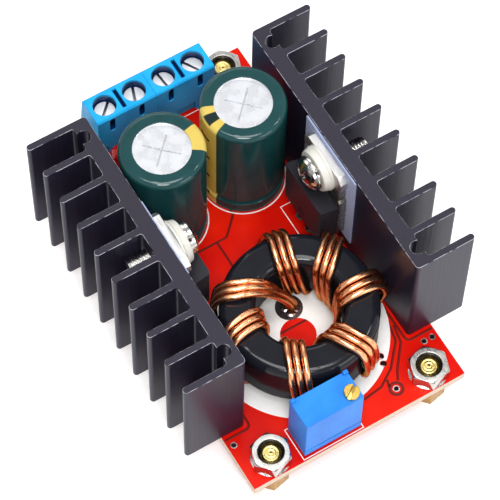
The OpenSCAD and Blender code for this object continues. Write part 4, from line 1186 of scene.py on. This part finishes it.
def lay_pads():
    """Tinned lands: rings under the nuts, round every lead on both sides, and round the vias."""
    rings = [(nut, *NUT_LAND, above) for above in (True, False) for nut in NUTS]
    flat_rings("mounting_lands", TINNED, 64, rings)
    rings = []
    for x, y, half in LEADS:
        if (Vector((x, y)) - COIL_LAND.xy).length > COIL_LAND_R:
            rings.append(((x, y), half + LEAD_PLAY, half + LAND_ABOVE, True))
        rings.append(((x, y), half + LEAD_PLAY, half + LAND_BELOW, False))
    flat_rings("lead_lands", TINNED, 32, rings)
    side = BOARD_HIGH.x - 0.95
    front = BOARD_LOW.y + 7.4
    vias = [(-side, front), (side, front), (side - 1.4, front), SINGLE_VIA]
    rings = [(via, *VIA_LAND, above) for via in vias for above in (True, False)]
    rings += [(spot, *SPARE_LAND, False) for spot in SPARE_HOLES]
    flat_rings("via_lands", TINNED, 32, rings)
    flat_rings("coil_end_land", DARKENED, 64, [(COIL_LAND, 0.02, COIL_LAND_R, True)])


def print_under():
    """White print on the underside: frames round the chip parts, end lines and a dot at the
    controller."""
    room = Vector((0.45, 0.45, 0))
    loops = [box_points(low - room, high + room)
             for name in ("chip_resistors", "chip_capacitors", "current_shunt")
             for low, high in solid_boxes(name)]
    low, high = node_box("controller_body")
    lines = [[(low.x, y), (high.x, y)] for y in (low.y - 0.25, high.y + 0.25)]
    printed_lines("underside_print", INK, False, 0.18, lines, loops)
    flat_rings("first_pin_dot", INK, 24, [((low.x - 0.5, high.y + 0.5), 0.01, 0.28, False)])


def etch_under():
    """Gaps in the copper on the underside: the splits between the power areas, the same on
    both sides, and the control lines."""
    one_side = [[(17.8, 9.2), (12.2, 9.2), (7.0, 14.4), (7.0, 20.2), (5.1, 22.1), (5.1, 32.2)],
                [(17.8, -13.0), (10.4, -13.0), (10.4, -8.2), (9.2, -7.0)],
                [(3.2, 2.66), (3.6, 2.4), (4.0, 2.4)],
                [(3.2, 5.2), (3.6, 5.5), (4.0, 5.5)],
                [(3.6, -8.2), (3.6, -17.0)]]
    routes = [[(hand * x, y) for x, y in route] for hand in (-1, 1) for route in one_side]
    routes += [[(-6.98, -28.5), (-6.98, -24.4), (-8.2, -23.2), (-8.2, 5.5), (-6.0, 5.5)],
               [(-4.44, -28.5), (-4.44, -24.8), (-7.4, -21.8), (-7.4, 2.4), (-6.0, 2.4)],
               [(-1.9, -28.5), (-1.9, -25.2), (-6.6, -20.5), (-6.6, -0.7), (-6.0, -0.7)],
               [(6.0, 5.5), (8.2, 5.5), (9.6, 4.1), (9.6, 2.1), (10.2, 2.1)],
               [(6.0, -0.7), (7.4, -0.7), (7.4, -9.6), (4.6, -12.4)]]
    printed_lines("underside_gaps", ETCHED, False, 0.3, routes, fillet=0.6)


def chip_pads():
    """Tinned pads below the ends of the chip parts and below the controller's pins."""
    pads = []
    for name, along, rim in (("chip_resistors", 1, 0.2), ("chip_capacitors", 0, 0.2),
                             ("current_shunt", 0, 0.25)):
        room = Vector((rim, rim, 0))
        for low, high in solid_boxes(name):
            end = CHIP_PAD * (high[along] - low[along])
            near, far = high.copy(), low.copy()
            near[along] = low[along] + end
            far[along] = high[along] - end
            pads += [(low - room, near + room), (far - room, high + room)]
    for low, high in solid_boxes("controller_pins"):
        inner, outer = low.x - 0.2, low.x + PIN_FOOT
        if low.x >= 0:
            inner, outer = high.x - PIN_FOOT, high.x + 0.2
        pads.append((Vector((inner, low.y - 0.08)), Vector((outer, high.y + 0.08))))
    spots = [((low.x + high.x) / 2, (low.y + high.y) / 2, BOARD_UNDER - PAD_T / 2)
             for low, high in pads]
    sizes = [((high.x - low.x) * MM, (high.y - low.y) * MM, 1.0) for low, high in pads]
    tree = Shaper("chip_pads_tree", Thickness=PAD_T * MM, Finish=TIN)
    pad = tree.add("MeshCube", {"Size": tree.vector(1.0, 1.0, tree["Thickness"])}, "Mesh")
    mesh = tree.made(tree.on_points(pad, Scale=tree.point_vector("size")),
                     spot_mesh(spots, size=sizes))
    finished("chip_pads", mesh, "tinned_metal")


print_top()
print_under()
etch_top()
etch_under()
lay_pads()
chip_pads()


# solder, screws and chips

def solder_fillets():
    """A concave fillet round every lead below the board, and small ones where the coil ends
    go in."""
    tree = Shaper("solder_fillet", Foot=FILLET_R * MM, Neck=0.42, Height=FILLET_R * MM,
                  Finish=SOLDER)
    cone, (x, y, z) = tree.rod(tree["Foot"], tree["Height"], corners=20, levels=6)
    level = z / tree["Height"] + 0.5
    hollow = tree.math("POWER", 1.0 - level, FILLET_HOLLOW)
    slim = tree["Neck"] + hollow * (1.0 - tree["Neck"])
    cone = tree.moved(cone, x * slim, y * slim, level * tree["Height"])
    cones = tree.on_points(cone, Rotation=tree.point_turn(), Scale=tree.point_vector("grow"))
    spots, turns, grows = [], [], []
    for x, y, half in LEADS:
        wide = (half + FILLET_RIM) / FILLET_R
        spots.append((x, y, BOARD_UNDER))
        turns.append((math.pi, 0, 0))
        grows.append((wide, wide, 1.0))
    for strand in STRANDS:
        entry = strand_path(strand)[ENTRY]
        spots.append((entry.x, entry.y, BOARD_TOP + PAD_T))
        turns.append((0, 0, strand))
        grows.append(ENTRY_FILLET)
    mesh = tree.made(cones, spot_mesh(spots, turn=turns, grow=grows))
    finished("solder_fillets", smooth_by_angle(mesh, 60), "solder", "solder_joints")


def threaded_shafts(washers):
    """A shaft with a real helical thread for each device screw, from its washer to its tip."""
    low, high = node_box("device_screws")
    tree = Shaper("threaded_shaft", Thread_Size=3.0 * MM, Pitch=0.5 * MM, Depth=0.27 * MM,
                  Length=9.5 * MM, Finish=NICKEL)
    radius = tree["Thread Size"] / 2.0
    rod, (x, y, z) = tree.rod(radius, tree["Length"], corners=28, levels=152)
    turn = tree.math("ARCTAN2", y, x) / (2 * math.pi)
    groove = tree.math("PINGPONG", z / tree["Pitch"] - turn, 0.5) * 2.0
    to_tip = tree["Length"] / 2.0 - z
    bevel = tree.math("MAXIMUM", TIP_BEVEL * MM - to_tip, 0.0)
    cut = tree.math("MAXIMUM", groove * tree["Depth"], bevel)
    slim = 1.0 - cut / radius
    rod = tree.moved(rod, x * slim, y * slim, z)
    spots, turns = [], []
    for (washer_low, washer_high), tip in zip(washers, (low.x, high.x)):
        out = 1 if tip > 0 else -1
        seat = washer_low.x if out > 0 else washer_high.x
        middle = (washer_low + washer_high) / 2
        spots.append(((seat + tip) / 2, middle.y, middle.z))
        turns.append((0, out * math.pi / 2, 0))
    return tree.made(tree.on_points(rod, Rotation=tree.point_turn()), spot_mesh(spots, turn=turns))


def threaded_screws():
    """Pan-head device screws: the solids' heads, cut off at their washers, on threaded shafts."""
    washers = solid_boxes("device_spring_washers")
    shafts = threaded_shafts(washers)
    shape = merged_mesh("device_screws")
    seat = abs(washers[1][0].x)
    for out in (-1, 1):
        side = {v for v in shape.verts if v.co.x * out > 0}
        around = {e for v in side for e in v.link_edges} | {f for v in side for f in v.link_faces}
        cut = bmesh.ops.bisect_plane(shape, geom=list(side | around), plane_no=(out, 0, 0),
                                     plane_co=(out * seat * MM, 0, 0), clear_outer=True)
        rim = [e for e in cut["geom_cut"] if isinstance(e, bmesh.types.BMEdge)]
        bmesh.ops.contextual_create(shape, geom=rim)
    shape.from_mesh(shafts)
    mesh = mesh_of(shape, "threaded_screws", NICKEL)
    finished("threaded_screws", smooth_by_angle(mesh, 35), "nickel", "device_screws")


def chips(name, node, slot, along_x, glaze, light, dark):
    """Chip parts with wrapped tinned ends, at every place where the node has a solid."""
    body = drifting(glaze, 0.4, light, dark, (0.4,), (0.1,), 0.006)
    boxes = solid_boxes(node)
    size = boxes[0][1] - boxes[0][0]
    long, wide = (size.x, size.y) if along_x else (size.y, size.x)
    tree = Shaper(name + "_tree", Length=long * MM, Width=wide * MM, Height=size.z * MM,
                  End_Length=CHIP_END * long * MM, Body_Finish=body, End_Finish=TIN)

    def block(finish, sides, counts):
        """A block with one finish and a count of points along each side."""
        inputs = {"Vertices " + axis: count for axis, count in zip("XYZ", counts)}
        cube = tree.add("MeshCube", {"Size": tree.vector(*sides), **inputs}, "Mesh")
        return tree.painted(cube, tree[finish])

    sides = [tree[label] for label in ("Length", "Width", "Height")]
    parts = [block("Body Finish", [a * b for a, b in zip(sides, CHIP_BODY)], (4, 3, 2))]
    cap = block("End Finish", (tree["End Length"], *sides[1:]), (3, 4, 3))
    reach = (tree["Length"] - tree["End Length"]) / 2.0
    for sign in (-1.0, 1.0):
        parts.append(tree.add("Transform", {"Geometry": cap,
                                            "Translation": tree.vector(reach * sign)}))
    turn = (0, 0, 0) if along_x else (0, 0, math.pi / 2)
    placed = tree.on_points(tree.joined(parts), Rotation=turn)
    spots = spot_mesh([(low + high) / 2 for low, high in boxes])
    carrier, _ = edge_breaker(tree.made(placed, spots, one_finish=False), 0.05)
    finished(name, smooth_by_angle(plain_mesh(carrier), 40), slot, node)


solder_fillets()
threaded_screws()
chips("resistor_chips", "chip_resistors", "chip_black", False,
      "resistor_glaze", (38, 38, 42), (24, 24, 28))
chips("capacitor_chips", "chip_capacitors", "chip_tan", True,
      "capacitor_ceramic", (186, 146, 100), (158, 118, 76))
chips("shunt_chip", "current_shunt", "chip_black", True,
      "shunt_glaze", (44, 44, 48), (30, 30, 34))


# studio

def pale_floor(half):
    """A wide white sheet under the feet, lifted towards white but still holding the shadow."""
    mesh = bpy.data.meshes.new("floor")
    corners = [(-half, -half, 0), (half, -half, 0), (half, half, 0), (-half, half, 0)]
    mesh.from_pydata(corners, [], [(0, 1, 2, 3)])
    finish = Finish("pale_floor", (246, 246, 246), 0.9, Emission_Color=(1.0, 1.0, 1.0))
    finish.set(Base_Color=finish.mix(finish.noise(40, 2), (247, 247, 247), (243, 243, 243)),
               Emission_Strength=finish.seen_white() * 0.3)
    mesh.materials.append(finish.material)
    floor = linked("floor", mesh)


def white_surroundings(level, overhead):
    """White walls to every ray that sees them, falling to a dimmer ceiling, and an even fill
    of the given level."""
    world = bpy.data.worlds.new("white_surroundings")
    world.use_nodes = True
    bpy.context.scene.world = world
    maker = NodeMaker(world.node_tree)
    background = world.node_tree.nodes["Background"].inputs
    up = maker.split(maker.add("TexCoord", out="Object"))[2]
    ceiling = maker.step(up, 0.35, 0.8, 1.0, overhead)
    maker.put(background["Color"], (1, 1, 1))
    maker.put(background["Strength"], maker.add("MapRange", {
        "Value": maker.seen_white(), "To Min": level, "To Max": ceiling}))


def softbox(name, place, size, power):
    """A square soft light that looks at the middle of the object."""
    light = bpy.data.lights.new(name, "AREA")
    light.size = size
    light.energy = power
    lamp = linked(name, light)
    lamp.location = place
    to_object = LIGHTS_AT - Vector(place)
    lamp.rotation_euler = to_object.to_track_quat("-Z", "Y").to_euler()


def photo_camera():
    camera = linked("photo_camera", bpy.data.cameras.new("photo_camera"))
    camera.data.sensor_width = CAMERA_SENSOR
    camera.data.lens = CAMERA_LENS
    right = Vector(CAMERA_RIGHT).normalized()
    back = -Vector(CAMERA_LOOKS).normalized()
    top = back.cross(right).normalized()
    axes = Matrix((right, top, back)).transposed().to_4x4()
    camera.matrix_world = Matrix.Translation(Vector(CAMERA_AT) * MM) @ axes
    bpy.context.scene.camera = camera


pale_floor(3.0)
white_surroundings(0.3, 0.5)
softbox("top_light", (0.0, 0.03, 1.0), 0.45, 4.9)
softbox("camera_side_light", (-0.24, -0.4, 0.9), 0.3, 5.2)
softbox("front_light", (0.3, -0.8, 0.5), 0.4, 1.6)
softbox("back_light", (0.25, 0.75, 0.6), 0.4, 1.0)
softbox("right_light", (0.5, -0.1, 0.8), 0.12, 0.7)
photo_camera()
bpy.context.scene.view_settings.view_transform = "Standard"
